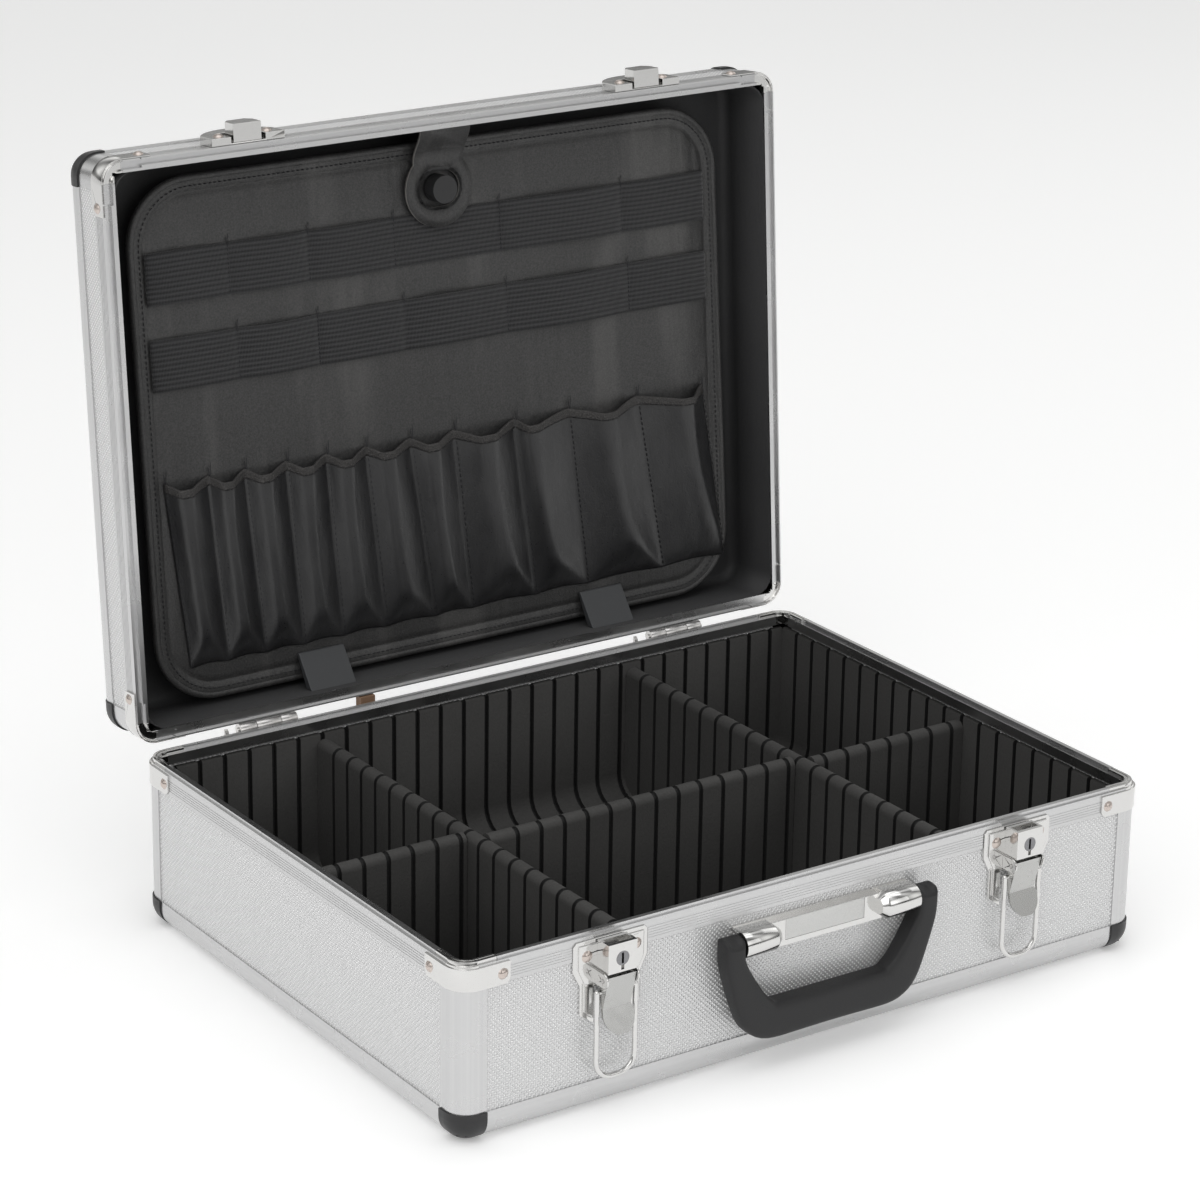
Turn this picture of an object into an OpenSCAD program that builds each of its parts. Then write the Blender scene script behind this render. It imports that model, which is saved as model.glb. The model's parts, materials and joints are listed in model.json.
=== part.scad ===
// Aluminium attache case with a hinged lid, a tool board and lift-out dividers.
// Millimetres. X to the right, Y to the back, Z up. The origin is the centre of the underside.
// The lid is drawn shut, as a second half-shell turned over, and then swung open about its hinges.

/* [Case] */
// Width of the case over its side profiles
case_w = 460; // [440:1:500]
// Depth of the case over its front and back profiles
case_d = 338; // [330:1:350]
// Height of the base from its underside to the rim
base_h = 101.7; // [100:0.1:110]
// Height of the lid from its rim to its top
lid_h = 48; // [48:0.5:60]
// Slit between the two rims when the case is shut
rim_gap = 0.3; // [0.2:0.1:0.5]
// Angle that the lid stands open
open_deg = 94.4; // [80:0.1:96]

/* [Frame] */
// Width of the visible leg of a corner or edge profile
leg = 17.5; // [16:0.5:19]
// Outer radius of the corner and edge profiles
edge_r = 12.5; // [11:0.5:13]
// Wall thickness of the profiles
profile_t = 0.8; // [0.6:0.1:1]
// Thickness of the textured wall panels
panel_t = 3; // [2:0.1:3]
// Thickness of the foam lining
lining_t = 3.2; // [2.5:0.1:3.5]

/* [Dividers] */
// Height of the top of the dividers above the underside
divider_top = 90; // [60:1:94]
// Thickness of a divider
divider_t = 9.5; // [6:0.5:10]
// Place of the left long divider
left_divider_x = -114; // [-130:1:-90]
// Place of the right long divider
right_divider_x = 107; // [90:1:130]

/* [Hardware] */
// Distance of each latch from the middle of the case
latch_x = 137; // [120:1:150]
// Distance of each hinge from the middle of the case
hinge_x = 146; // [130:1:155]
// Height of the handle's pivots
handle_z = 76.5; // [70:0.5:78]
// Half the length of the handle's chrome bracket
bracket_half = 58.5; // [56:0.5:60]

/* [Hidden] */
$fn = 64;
fit = 0.05;     // radial clearance of a pin in its bore
clear = 0.3;    // gap between pieces that move past each other
over = 1;       // how far a cutting shape runs past the face it cuts

half_w = case_w / 2;
half_d = case_d / 2;
wall = profile_t + panel_t + lining_t;      // 7 mm from the outer face to the inside
in_w = half_w - wall;
in_d = half_d - wall;
lid_z = base_h + rim_gap;                   // mating plane of the lid when shut
total_h = lid_z + lid_h;
rim_head = 5.7;         // height of the solid part of a rim
rim_skirt = 12.7;       // height of the rim's outer face
tongue_in = 1.2;        // from the outer face to the tongue
tongue_w = 2.6;
tongue_h = 2;
cap_reach = 24;         // how far a rim corner's cap runs from the corner
cap_w = 4;
flange_reach = 31;      // how far a rim corner's flange runs from the corner
floor_top = profile_t + panel_t + lining_t; // inside face of the floor lining
hinge_y = half_d + 4.15;
hinge_z = base_h + 0.7;

// ---- placing ----

// Puts a piece on the lid, drawn in the place that it has on the shut case.
module on_lid() {
    translate([0, hinge_y, hinge_z]) rotate([-open_deg, 0, 0]) translate([0, -hinge_y, -hinge_z])
        children();
}

// Turns a half-shell piece over, so that its underside becomes the top of the lid.
module lid_half() {
    on_lid() translate([0, 0, total_h]) mirror([0, 0, 1]) children();
}

// Repeats a piece that stands at the +X +Y corner at all four corners.
module four_corners() {
    for (sx = [0, 1], sy = [0, 1]) mirror([sx, 0, 0]) mirror([0, sy, 0]) children();
}

// Moves a corner's own coordinates, which run inwards from the corner, to the +X +Y corner.
module from_corner() {
    translate([half_w, half_d, 0]) mirror([1, 0, 0]) mirror([0, 1, 0]) children();
}

// Stands a piece drawn in X and outward distance Y, height Z, on the front face.
module on_front() {
    translate([0, -half_d, 0]) mirror([0, 1, 0]) children();
}

// Repeats a piece at both latches.
module both_latches() {
    for (s = [-1, 1]) translate([s * latch_x, 0, 0]) children();
}

// Extrudes a side outline, drawn in outward distance and height, along X.
module along_x(half_len) {
    translate([-half_len, 0, 0]) rotate([90, 0, 90]) linear_extrude(2 * half_len) children();
}

// Extrudes a front outline, drawn in X and height, outwards between two distances.
module outwards(from, to) {
    translate([0, to, 0]) rotate([90, 0, 0]) linear_extrude(to - from) children();
}

// A cylinder along X, centred on the given outward distance and height.
module rod_x(r, x0, x1, d, z) {
    translate([x0, d, z]) rotate([0, 90, 0]) cylinder(r = r, h = x1 - x0);
}

// ---- pieces of a half-shell ----

// A thin right angle with a round outer edge, its corner at the origin.
module angle_section() {
    difference() {
        intersection() {
            translate([edge_r, edge_r]) circle(edge_r);
            square(edge_r);
        }
        translate([edge_r, edge_r]) circle(edge_r - profile_t);
    }
    translate([edge_r, 0]) square([leg - edge_r, profile_t]);
    translate([0, edge_r]) square([profile_t, leg - edge_r]);
}

module side_panels(h) {
    top = h - rim_head;
    for (s = [-1, 1]) {
        translate([s * (half_w - profile_t - panel_t / 2), 0, (edge_r + top) / 2])
            cube([panel_t, 2 * (half_d - edge_r), top - edge_r], center = true);
        translate([0, s * (half_d - profile_t - panel_t / 2), (edge_r + top) / 2])
            cube([2 * (half_w - edge_r), panel_t, top - edge_r], center = true);
    }
}

// The flat panel is rebated at its edges, so that it lies flush with the edge profiles.
module flat_panel() {
    translate([0, 0, profile_t + panel_t / 2])
        cube([2 * (half_w - edge_r), 2 * (half_d - edge_r), panel_t], center = true);
    translate([0, 0, (profile_t + 0.1) / 2])
        cube([2 * (half_w - leg), 2 * (half_d - leg), profile_t + 0.1], center = true);
}

module corner_posts(h) {
    four_corners() from_corner()
        translate([0, 0, leg]) linear_extrude(h - rim_skirt - leg - 0.1) angle_section();
}

module edge_profiles() {
    for (s = [0, 1]) {
        mirror([0, s, 0]) translate([-(half_w - leg), -half_d, 0]) rotate([90, 0, 90])
            linear_extrude(2 * (half_w - leg)) angle_section();
        mirror([s, 0, 0]) translate([-half_w, half_d - leg, 0]) rotate([90, 0, 0])
            linear_extrude(2 * (half_d - leg)) angle_section();
    }
}

// The space inside a rounded corner: everything at least "low" from the two walls and
// "bottom" from the underside, with the three edges rounded about the point "mid".
module round_block(low, bottom, mid_z, r, far) {
    m = edge_r;
    translate([m, m, mid_z]) sphere(r);
    translate([m, m, mid_z]) cylinder(r = r, h = far - mid_z);
    translate([m, m, mid_z]) rotate([0, 90, 0]) cylinder(r = r, h = far - m);
    translate([m, m, mid_z]) rotate([-90, 0, 0]) cylinder(r = r, h = far - m);
    translate([low, m, mid_z]) cube([far - low, far - m, far - mid_z]);
    translate([m, low, mid_z]) cube([far - m, far - low, far - mid_z]);
    translate([m, m, bottom]) cube([far - m, far - m, far - bottom]);
}

// A moulded corner cap stands 1 mm proud of the side faces and flush with the underside.
module ball_corners() {
    proud = 1;
    four_corners() from_corner() difference() {
        intersection() {
            round_block(-proud, 0, edge_r + proud, edge_r + proud, leg);
            translate([-2 * proud, -2 * proud, -over]) cube([leg + 2 * proud, leg + 2 * proud, leg + over]);
        }
        round_block(profile_t, profile_t, edge_r, edge_r - profile_t, leg + over);
    }
}

// Cross-section of a rim, drawn inwards from its outer face and down from the mating plane.
module rim_section(tongue) {
    difference() {
        union() {
            translate([0, -rim_head]) square([wall, rim_head]);
            translate([0, -rim_skirt]) square([profile_t, rim_skirt]);
            if (tongue) translate([tongue_in, 0]) square([tongue_w, tongue_h]);
        }
        if (!tongue) translate([tongue_in - 0.35, -tongue_h - clear])
            square([tongue_w + 0.7, tongue_h + over]);
        for (k = [0 : 4]) translate([-0.5, -10.6 + 1.5 * k]) square([0.7, 0.35]);
    }
}

module rims(h, tongue) {
    for (s = [0, 1]) {
        difference() {
            mirror([0, s, 0]) translate([-(half_w - edge_r), -half_d, h]) rotate([90, 0, 90])
                linear_extrude(2 * (half_w - edge_r)) rim_section(tongue);
            rim_relief(h, tongue);
        }
        difference() {
            mirror([s, 0, 0]) translate([-half_w, half_d - edge_r, h]) rotate([90, 0, 0])
                linear_extrude(2 * (half_d - edge_r)) rim_section(tongue);
            rim_relief(h, tongue);
        }
    }
}

// Next to the corners the tongue gives way to the corner's cap, and the groove widens for it.
module rim_relief(h, tongue) {
    reach = cap_reach + (tongue ? 0.1 : 0.4);
    depth = tongue_h + (tongue ? over : clear);
    four_corners() from_corner() difference() {
        translate([0, 0, tongue ? h : h - depth])
            cube([reach, reach, depth + over]);
        translate([tongue ? wall : tongue_in + cap_w + 0.35, tongue ? wall : tongue_in + cap_w + 0.35, 0])
            cube([reach, reach, h + 2 * over]);
        if (!tongue) translate([-over, -over, 0]) cube([reach, tongue_in - 0.35 + over, h + over]);
        if (!tongue) translate([-over, -over, 0]) cube([tongue_in - 0.35 + over, reach, h + over]);
    }
}

// A band that follows the rounded corner, between two depths from the outer face.
module corner_band(from, to, reach) {
    intersection() {
        difference() {
            union() {
                translate([edge_r, edge_r]) circle(edge_r - from);
                translate([edge_r, from]) square([reach - edge_r, reach]);
                translate([from, edge_r]) square([reach, reach - edge_r]);
            }
            translate([edge_r, edge_r]) circle(edge_r - to);
            translate([edge_r, to]) square([reach, reach]);
            translate([to, edge_r]) square([reach, reach]);
        }
        translate([from, from]) square(reach - from);
    }
}

module rim_corners(h, tongue) {
    flange_low = h - 13.7;
    flange_high = h - 1.2;
    four_corners() from_corner() {
        difference() {
            union() {
                translate([0, 0, flange_low]) linear_extrude(flange_high - flange_low)
                    corner_band(-1, 0, flange_reach);
                translate([0, 0, h - rim_head]) linear_extrude(rim_head) difference() {
                    intersection() {
                        translate([edge_r, edge_r]) circle(edge_r);
                        square(edge_r);
                    }
                    translate([wall, wall]) square(edge_r);
                }
                if (tongue) translate([0, 0, h]) cap();
            }
            flange_rounding(flange_low);
            if (!tongue) translate([0, 0, h - tongue_h - clear])
                linear_extrude(tongue_h + over)
                    corner_band(tongue_in - 0.35, tongue_in + cap_w + 0.35, leg);
            corner_rivet_places(h) cylinder(r = 1.6 + fit, h = 3, center = true);
        }
    }
}

// Two ridges side by side, rounded off by small steps.
module cap() {
    linear_extrude(tongue_h) corner_band(tongue_in, tongue_in + 1.6, cap_reach);
    linear_extrude(tongue_h) corner_band(tongue_in + 2.4, tongue_in + cap_w, cap_reach);
    linear_extrude(tongue_h - 0.8) corner_band(tongue_in, tongue_in + cap_w, cap_reach);
}

// Rounds the free lower corner of each flange.
module flange_rounding(z) {
    r = 4;
    for (side = [0, 1]) mirror([side, -side, 0]) translate([flange_reach - r, 0, z + r])
        rotate([90, 0, 0]) linear_extrude(6, center = true) difference() {
            translate([0, -r - over]) square([r + over, r + over]);
            circle(r);
        }
}

module corner_rivet_places(h) {
    for (side = [0, 1]) mirror([side, -side, 0])
        translate([26.4, -1, h - 7.6]) rotate([90, 0, 0]) children();
}

// A domed rivet head on the plane Z = 0, with a short shank below it.
module rivet(r, high, shank_r, shank) {
    ball = (r * r + high * high) / (2 * high);
    intersection() {
        translate([0, 0, high - ball]) sphere(ball);
        cylinder(r = r, h = high);
    }
    translate([0, 0, -shank]) cylinder(r = shank_r, h = shank);
}

module corner_rivets(h) {
    four_corners() from_corner() corner_rivet_places(h) rivet(3.15, 1.6, 1.6, 1);
}

module wall_lining(h, inner) {
    top = h - rim_head - 0.1;
    t = lining_t;
    for (s = [-1, 1]) {
        translate([s * (in_w + t / 2), 0, (inner + top) / 2])
            cube([t, 2 * in_d, top - inner], center = true);
        translate([0, s * (in_d + t / 2), (inner + top) / 2])
            cube([2 * (in_w + 1.5), t, top - inner], center = true);
    }
}

module floor_lining() {
    translate([0, 0, floor_top - lining_t / 2])
        cube([2 * in_w, 2 * in_d, lining_t], center = true);
}

// ---- base shell ----

module base_side_panels() { color("gainsboro") side_panels(base_h); }
module base_bottom_panel() { color("gainsboro") flat_panel(); }
module base_corner_posts() { color("silver") corner_posts(base_h); }
module base_edge_profiles() { color("silver") edge_profiles(); }
module base_ball_corners() { color("#1c1c1e") ball_corners(); }
module base_rims() { color("silver") rims(base_h, true); }
module base_rim_corners() { color("lightgray") rim_corners(base_h, true); }
module base_corner_rivets() { color("#b3aaa2") corner_rivets(base_h); }
module base_wall_lining() { color("#2a2a2c") wall_lining(base_h, floor_top); }
module base_floor_lining() { color("#2a2a2c") floor_lining(); }

// ---- dividers ----

// An upright foam board with a round top edge, running along Y between two places.
module divider(y0, y1) {
    low = floor_top + clear;
    r = divider_t / 2;
    translate([-r, y0, low]) cube([divider_t, y1 - y0, divider_top - r - low]);
    translate([0, y0, divider_top - r]) rotate([-90, 0, 0]) cylinder(r = r, h = y1 - y0);
}

module cross_divider(x0, x1, y) {
    color("#313133") translate([0, y, 0]) rotate([0, 0, -90]) divider(x0, x1);
}

module divider_long_left() {
    color("#313133") translate([left_divider_x, 0, 0]) divider(-in_d + clear, in_d - clear);
}
module divider_long_right() {
    color("#313133") translate([right_divider_x, 0, 0]) divider(-in_d + clear, in_d - clear);
}
module divider_cross_left() {
    cross_divider(-in_w + clear, left_divider_x - divider_t / 2 - clear, 1.5);
}
module divider_cross_middle() {
    cross_divider(left_divider_x + divider_t / 2 + clear, right_divider_x - divider_t / 2 - clear, -7.5);
}
module divider_cross_right() {
    cross_divider(right_divider_x + divider_t / 2 + clear, in_w - clear, -14);
}

// ---- carrying handle ----

pivot_d = 8;            // distance of the handle's pivots from the front face
pivot_r = 7.5;          // radius of the bracket's tubes and of the grip's ends
handle_pin_r = 2.5;
tube_in = 38;           // inner ends of the bracket's tubes
grip_w = 71;            // half the width of the grip
grip_low = 18.5;        // height of the underside of the hanging grip

// The points of a round corner, turning from one angle to another about a centre.
function arc(cx, cz, r, from, to) =
    [for (k = [0 : 8]) [cx + r * cos(from + (to - from) * k / 8), cz + r * sin(from + (to - from) * k / 8)]];

// Half of the grip's outer outline from its pivot down to the middle of the bar.
function grip_outer() = concat([[0, handle_z], [grip_w, handle_z], [grip_w, 68]],
    arc(42.5, grip_low + 18, 18, -12, -90), [[0, grip_low]]);

// Half of the opening that the fingers go through.
function grip_inner() = concat([[0, handle_z + 10], [bracket_half + clear, handle_z + 10],
    [bracket_half + clear, 66]], arc(38, 44, 4.5, -24, -90), [[0, 39.5]]);

module mirrored_outline(points) {
    polygon(points);
    mirror([1, 0]) polygon(points);
}

module handle_bracket() {
    color("lightgray") on_front() difference() {
        union() {
            translate([-bracket_half, -profile_t, 67.5]) cube([2 * bracket_half, profile_t + 1.2, 17]);
            translate([-tube_in - 1, 0, 67.5]) cube([2 * tube_in + 2, 5.5, 15]);
            for (s = [0, 1]) mirror([s, 0, 0]) {
                rod_x(pivot_r, tube_in, bracket_half, pivot_d, handle_z);
                translate([tube_in, 0, handle_z]) cube([bracket_half - tube_in, pivot_d, pivot_r]);
                translate([tube_in - 4, pivot_d, handle_z]) rotate([0, 90, 0])
                    cylinder(r1 = 4.5, r2 = pivot_r, h = 4);
            }
        }
        translate([-26.7, 5, 70.5]) cube([53.4, over, 12.2]);
        for (s = [0, 1]) mirror([s, 0, 0])
            rod_x(handle_pin_r + fit, tube_in + 8.4, bracket_half + over, pivot_d, handle_z);
    }
}
module handle_label() { color("#c9c9c6") on_front() translate([-26.5, 5, 70.7]) cube([53, 0.4, 11.8]); }
module handle_pins() {
    color("silver") on_front() for (s = [0, 1]) mirror([s, 0, 0])
        rod_x(handle_pin_r, tube_in + 8.5, 67, pivot_d, handle_z);
}
module handle_grip() {
    color("#2b2b2c") on_front() difference() {
        union() {
            outwards(2.5, 15.5) difference() {
                mirrored_outline(grip_outer());
                mirrored_outline(grip_inner());
            }
            for (s = [0, 1]) mirror([s, 0, 0])
                rod_x(pivot_r, bracket_half + clear, grip_w, pivot_d, handle_z);
        }
        for (s = [0, 1]) mirror([s, 0, 0])
            rod_x(handle_pin_r + fit, bracket_half - 1, 68, pivot_d, handle_z);
    }
}

// ---- latches on the base ----

lock_low = 82.7;        // underside of the lock body
lock_high = 99.3;
lock_half = 9;
lock_d = 12;            // how far the lock body stands out
key_z = 90.5;
lever_d = 9;            // lever pivot, outwards and up
lever_z = 78.6;
lever_pin_r = 1;
bail_d = 6.5;           // bail pivot, outwards and up
bail_z = 71;
bail_pin_r = 1.2;
wire_r = 1.5;
bail_half = 12.25;      // from the middle to the wire's centre line
rivet_x = 15.5;
rivet_z = 91;

module latch_plate_outline() {
    polygon([[-21.5, 99.5], [21.5, 99.5], [23.5, 97.5], [23.5, 83], [19, 74], [19, 58], [10.2, 51.5],
        [10.2, 72], [-10.2, 72], [-10.2, 51.5], [-19, 58], [-19, 74], [-23.5, 83], [-23.5, 97.5]]);
}

// The raised inner part of the plate.
module latch_field_outline() {
    polygon([[-20.5, 97.3], [20.5, 97.3], [20.5, 83.6], [16.6, 75.2], [16.6, 59.4], [11.4, 55.6],
        [11.4, 73.4], [-11.4, 73.4], [-11.4, 55.6], [-16.6, 59.4], [-16.6, 75.2], [-20.5, 83.6]]);
}

module latch_plates() {
    color("lightgray") both_latches() on_front() difference() {
        union() {
            outwards(-profile_t, 0.8) latch_plate_outline();
            outwards(0.7, 1.8) latch_field_outline();
        }
        translate([-30, -over - profile_t, base_h - rim_skirt]) cube([60, profile_t + over, 20]);
        for (s = [-1, 1]) translate([s * rivet_x, 1, rivet_z]) rotate([90, 0, 0])
            cylinder(r = 1.6 + fit, h = 6, center = true);
    }
}
// Two cheeks on each plate carry the lever's pin.
module lever_brackets() {
    color("lightgray") both_latches() on_front() for (s = [0, 1]) mirror([s, 0, 0]) difference() {
        union() {
            translate([9.2, 1.8, lever_z - 4.3]) cube([1.2, lever_d - 1.8, 8.6]);
            rod_x(4.3, 9.2, 10.4, lever_d, lever_z);
        }
        rod_x(lever_pin_r + fit, 8, 12, lever_d, lever_z);
    }
}
module latch_rivets() {
    color("#b3aaa2") both_latches() on_front() for (s = [-1, 1])
        translate([s * rivet_x, 1.8, rivet_z]) rotate([-90, 0, 0]) rivet(3.3, 1.6, 1.6, 1.8);
}
module lock_bodies() {
    color("lightgray") both_latches() on_front() difference() {
        translate([-lock_half, 1.8, lock_low]) cube([2 * lock_half, lock_d - 1.8, lock_high - lock_low]);
        translate([0, 3, key_z]) rotate([-90, 0, 0]) cylinder(r = 4 + fit, h = 10);
        translate([-0.9, lock_d - 3, lock_low + 1.3]) cube([1.8, 4, 5]);
        translate([-7.5, 4, lock_high - 3.5]) cube([15, 5.8, 4]);
    }
}
module lock_plug() {
    color("#6b6b6b") on_front() difference() {
        translate([0, 3.5, key_z]) rotate([-90, 0, 0]) cylinder(r = 4, h = lock_d - 3.5);
        translate([-0.7, lock_d - 3, key_z - 3]) cube([1.4, 4, 6]);
    }
}
module lever_pins() {
    color("silver") both_latches() on_front() rod_x(lever_pin_r, -10.4, 10.4, lever_d, lever_z);
}

tab_half = 9.7;         // half the width of the lever's thumb tab

// The tab widens a little and ends in a half circle.
module lever_tab_outline() {
    translate([0, -31.2 + tab_half]) circle(tab_half);
    polygon([[-8.8, -17.6], [8.8, -17.6], [tab_half, -31.2 + tab_half], [-tab_half, -31.2 + tab_half]]);
}

// Drawn about the lever's pivot: the bent plate, its two cheeks and the rolled top edge.
module lever() {
    lever_half = 8.8;
    cheek = 1.2;
    bail_rel = [bail_d - lever_d, bail_z - lever_z];
    color("lightgray") on_front() translate([0, lever_d, lever_z]) difference() {
        union() {
            along_x(lever_half) polygon([[3, 2.2], [-1.8, -17.6], [-3.2, -17.6], [1.5, 2.2]]);
            intersection() {
                along_x(tab_half) polygon([[-1.8, -17.6], [4.6, -30.8], [3.6, -31.6], [-3.2, -17.6]]);
                outwards(-6, 6) lever_tab_outline();
            }
            rod_x(2.4, -lever_half, lever_half, 0, 0);
            for (s = [0, 1]) mirror([s, 0, 0]) translate([lever_half - cheek / 2, 0, 0])
                along_x(cheek / 2)
                    polygon([[2, 1.5], [-2, 1.5], [-5, -4], [-5, -11.5], [-3, -17], [-2, -17.6]]);
        }
        rod_x(lever_pin_r + fit, -12, 12, 0, 0);
        rod_x(bail_pin_r + fit, -12, 12, bail_rel[0], bail_rel[1]);
    }
}

// A wire loop with its two ends bent inwards as pivots.
module bail() {
    bend_r = 10.25;
    bend_z = bail_z - 39.25;
    straight = bail_half - bend_r;
    color("lightgray") on_front() {
        for (s = [0, 1]) mirror([s, 0, 0]) {
            rod_x(bail_pin_r, 7.8, bail_half, bail_d, bail_z);
            translate([bail_half, bail_d, bail_z]) sphere(wire_r);
            translate([bail_half, bail_d, bend_z]) cylinder(r = wire_r, h = bail_z - bend_z);
            translate([straight, bail_d, bend_z]) rotate([-90, 0, 0]) rotate_extrude(angle = 90)
                translate([bend_r, 0]) circle(wire_r);
        }
        rod_x(wire_r, -straight, straight, bail_d, bend_z - bend_r);
    }
}

module lock_plug_left() { translate([-latch_x, 0, 0]) lock_plug(); }
module lock_plug_right() { translate([latch_x, 0, 0]) lock_plug(); }
module lever_left() { translate([-latch_x, 0, 0]) lever(); }
module lever_right() { translate([latch_x, 0, 0]) lever(); }
module bail_left() { translate([-latch_x, 0, 0]) bail(); }
module bail_right() { translate([latch_x, 0, 0]) bail(); }

// ---- hinges and stops at the back ----

hinge_half = 19;
hinge_leaf_t = 1.2;
knuckle_r = 4;
hinge_pin_r = 1.5;
knuckle_in = 8;         // the lid's knuckle runs this far each side of the hinge's middle

module knuckle(x0, x1) { rod_x(knuckle_r, x0, x1, hinge_y, hinge_z); }

module hinge_bore() { both_hinges() rod_x(hinge_pin_r + fit, -25, 25, hinge_y, hinge_z); }

module hinge_rivet_places(z) {
    both_hinges() for (x = [-12, 0, 12])
        translate([x, half_d + hinge_leaf_t, z]) rotate([-90, 0, 0]) children();
}

module both_hinges() {
    for (s = [-1, 1]) translate([s * hinge_x, 0, 0]) children();
}

module hinge_base_leaves() {
    color("silver") difference() {
        both_hinges() union() {
            translate([-hinge_half, half_d, 82]) cube([2 * hinge_half, hinge_leaf_t, 17]);
            for (s = [0, 1]) mirror([s, 0, 0]) {
                translate([knuckle_in + clear, half_d, 98])
                    cube([hinge_half - knuckle_in - clear, hinge_leaf_t, hinge_z - 98.2]);
                knuckle(knuckle_in + clear, hinge_half);
            }
        }
        hinge_bore();
        hinge_rivet_places(89) cylinder(r = 1 + fit, h = 6, center = true);
    }
}
module hinge_lid_leaves() {
    color("silver") on_lid() difference() {
        both_hinges() union() {
            translate([-hinge_half, half_d, hinge_z + 3.3]) cube([2 * hinge_half, hinge_leaf_t, 17]);
            translate([-knuckle_in, half_d, hinge_z + 0.2]) cube([2 * knuckle_in, hinge_leaf_t, 5]);
            knuckle(-knuckle_in, knuckle_in);
        }
        hinge_bore();
        hinge_rivet_places(hinge_z + 13.5) cylinder(r = 1 + fit, h = 6, center = true);
    }
}
module hinge_pins() {
    color("silver") both_hinges() rod_x(hinge_pin_r, -hinge_half - 1, hinge_half + 1, hinge_y, hinge_z);
}
module hinge_rivets(z) { hinge_rivet_places(z) rivet(2.6, 1.2, 1, hinge_leaf_t - 0.1); }
module hinge_base_rivets() { color("#b3aaa2") hinge_rivets(89); }
module hinge_lid_rivets() { color("#b3aaa2") on_lid() hinge_rivets(hinge_z + 13.5); }

// Slim upright fingers beside the hinges, cut back where the lid's edge swings past.
module stop_fingers() {
    color("silver") for (x = [-174.5, 115]) translate([x, 0, 0]) {
        along_x(1.25) polygon([[half_d, 90], [half_d, 101.8], [half_d + 0.15, 102.4], [half_d + 0.55, 104],
            [half_d + 1.35, 105.2], [half_d + 2.4, 105.9], [half_d + 2.4, 90]]);
        translate([-5, half_d, 84]) cube([10, 1.2, 12]);
    }
}
// A small block under the open lid's back edge.
module stop_pad() {
    color("#7a5a40") translate([-77.5, 0, 0]) along_x(5)
        polygon([[half_d, 84], [half_d, 99], [171.9, 102], [171.9, 105.8], [178, 105.8], [178, 84]]);
}

// ---- lid shell ----

module lid_side_panels() { color("gainsboro") lid_half() side_panels(lid_h); }
module lid_top_panel() { color("gainsboro") lid_half() flat_panel(); }
module lid_corner_posts() { color("silver") lid_half() corner_posts(lid_h); }
module lid_edge_profiles() { color("silver") lid_half() edge_profiles(); }
module lid_ball_corners() { color("#1c1c1e") lid_half() ball_corners(); }
module lid_rims() { color("silver") lid_half() rims(lid_h, false); }
module lid_rim_corners() { color("lightgray") lid_half() rim_corners(lid_h, false); }
module lid_corner_rivets() { color("#b3aaa2") lid_half() corner_rivets(lid_h); }
module lid_wall_lining() { color("#232325") lid_half() wall_lining(lid_h, floor_top); }
module lid_top_lining() { color("#232325") lid_half() floor_lining(); }

// ---- keepers on the lid ----

keeper_half = 23.5;
keeper_d = 4.6;         // how far the keeper's cover stands out
keeper_rivet_z = 110;

// The cover is a pressed box with a round back and a gap in the middle of its front.
module keeper_covers() {
    low = lid_z + 0.6;
    color("lightgray") on_lid() both_latches() on_front() difference() {
        outwards(-profile_t, keeper_d) intersection() {
            translate([-keeper_half, low]) square([2 * keeper_half, 29]);
            union() {
                translate([-keeper_half, low]) square([2 * keeper_half, 9]);
                translate([0, low + 3]) circle(26);
            }
        }
        translate([-30, -over - profile_t, 90]) cube([60, profile_t + over, lid_z + rim_skirt - 90]);
        translate([-11, 1, low - over]) cube([22, 10, 17]);
        for (s = [-1, 1]) translate([s * rivet_x, 3, keeper_rivet_z]) rotate([90, 0, 0])
            cylinder(r = 1.6 + fit, h = 8, center = true);
    }
}
// The hook is a bent plate between two cheeks, with a lip that holds the bail.
module keeper_hooks() {
    color("lightgray") on_lid() both_latches() on_front() intersection() {
        union() {
            along_x(9) polygon([[1, 103.9], [11.5, 103.9], [11.5, 117.6], [10.3, 117.6], [10.3, 105.1],
                [1, 105.1]]);
            for (s = [0, 1]) mirror([s, 0, 0]) translate([8.4, 0, 0]) along_x(0.6)
                polygon([[1, 105.1], [10.3, 105.1], [10.3, 116], [1, 113]]);
            along_x(9) polygon([[1, 112], [1.0, 116.5], [2.2, 116.5], [2.2, 112]]);
        }
        outwards(-5, 30) polygon([[-9.1, 90], [9.1, 90], [9.1, 113.5], [5.8, 117.7], [-5.8, 117.7],
            [-9.1, 113.5]]);
    }
}
module keeper_rivets() {
    color("#b3aaa2") on_lid() both_latches() on_front() for (s = [-1, 1])
        translate([s * rivet_x, keeper_d, keeper_rivet_z]) rotate([-90, 0, 0]) rivet(3.3, 1.6, 1.6, 3);
}

// ---- tool board in the lid ----

clip_y = 141.5;         // where the clips' tips bear on the board
clip_depth = 21.8;      // depth of the board's face there, from the mating plane
board_lean = 1;         // the board's face runs deeper towards the front of the lid
board_half = 204.5;
board_front = -292.5;   // ends of the board, measured from the clips' tips
board_back = 17;
board_t = 6;
board_r = 40;
band_w = 30;

// Places a piece on the tool board: X along it, Y towards the hinges, Z away from the face.
module on_board() {
    on_lid() translate([0, clip_y, lid_z + clip_depth]) rotate([-board_lean, 0, 0]) children();
}

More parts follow.
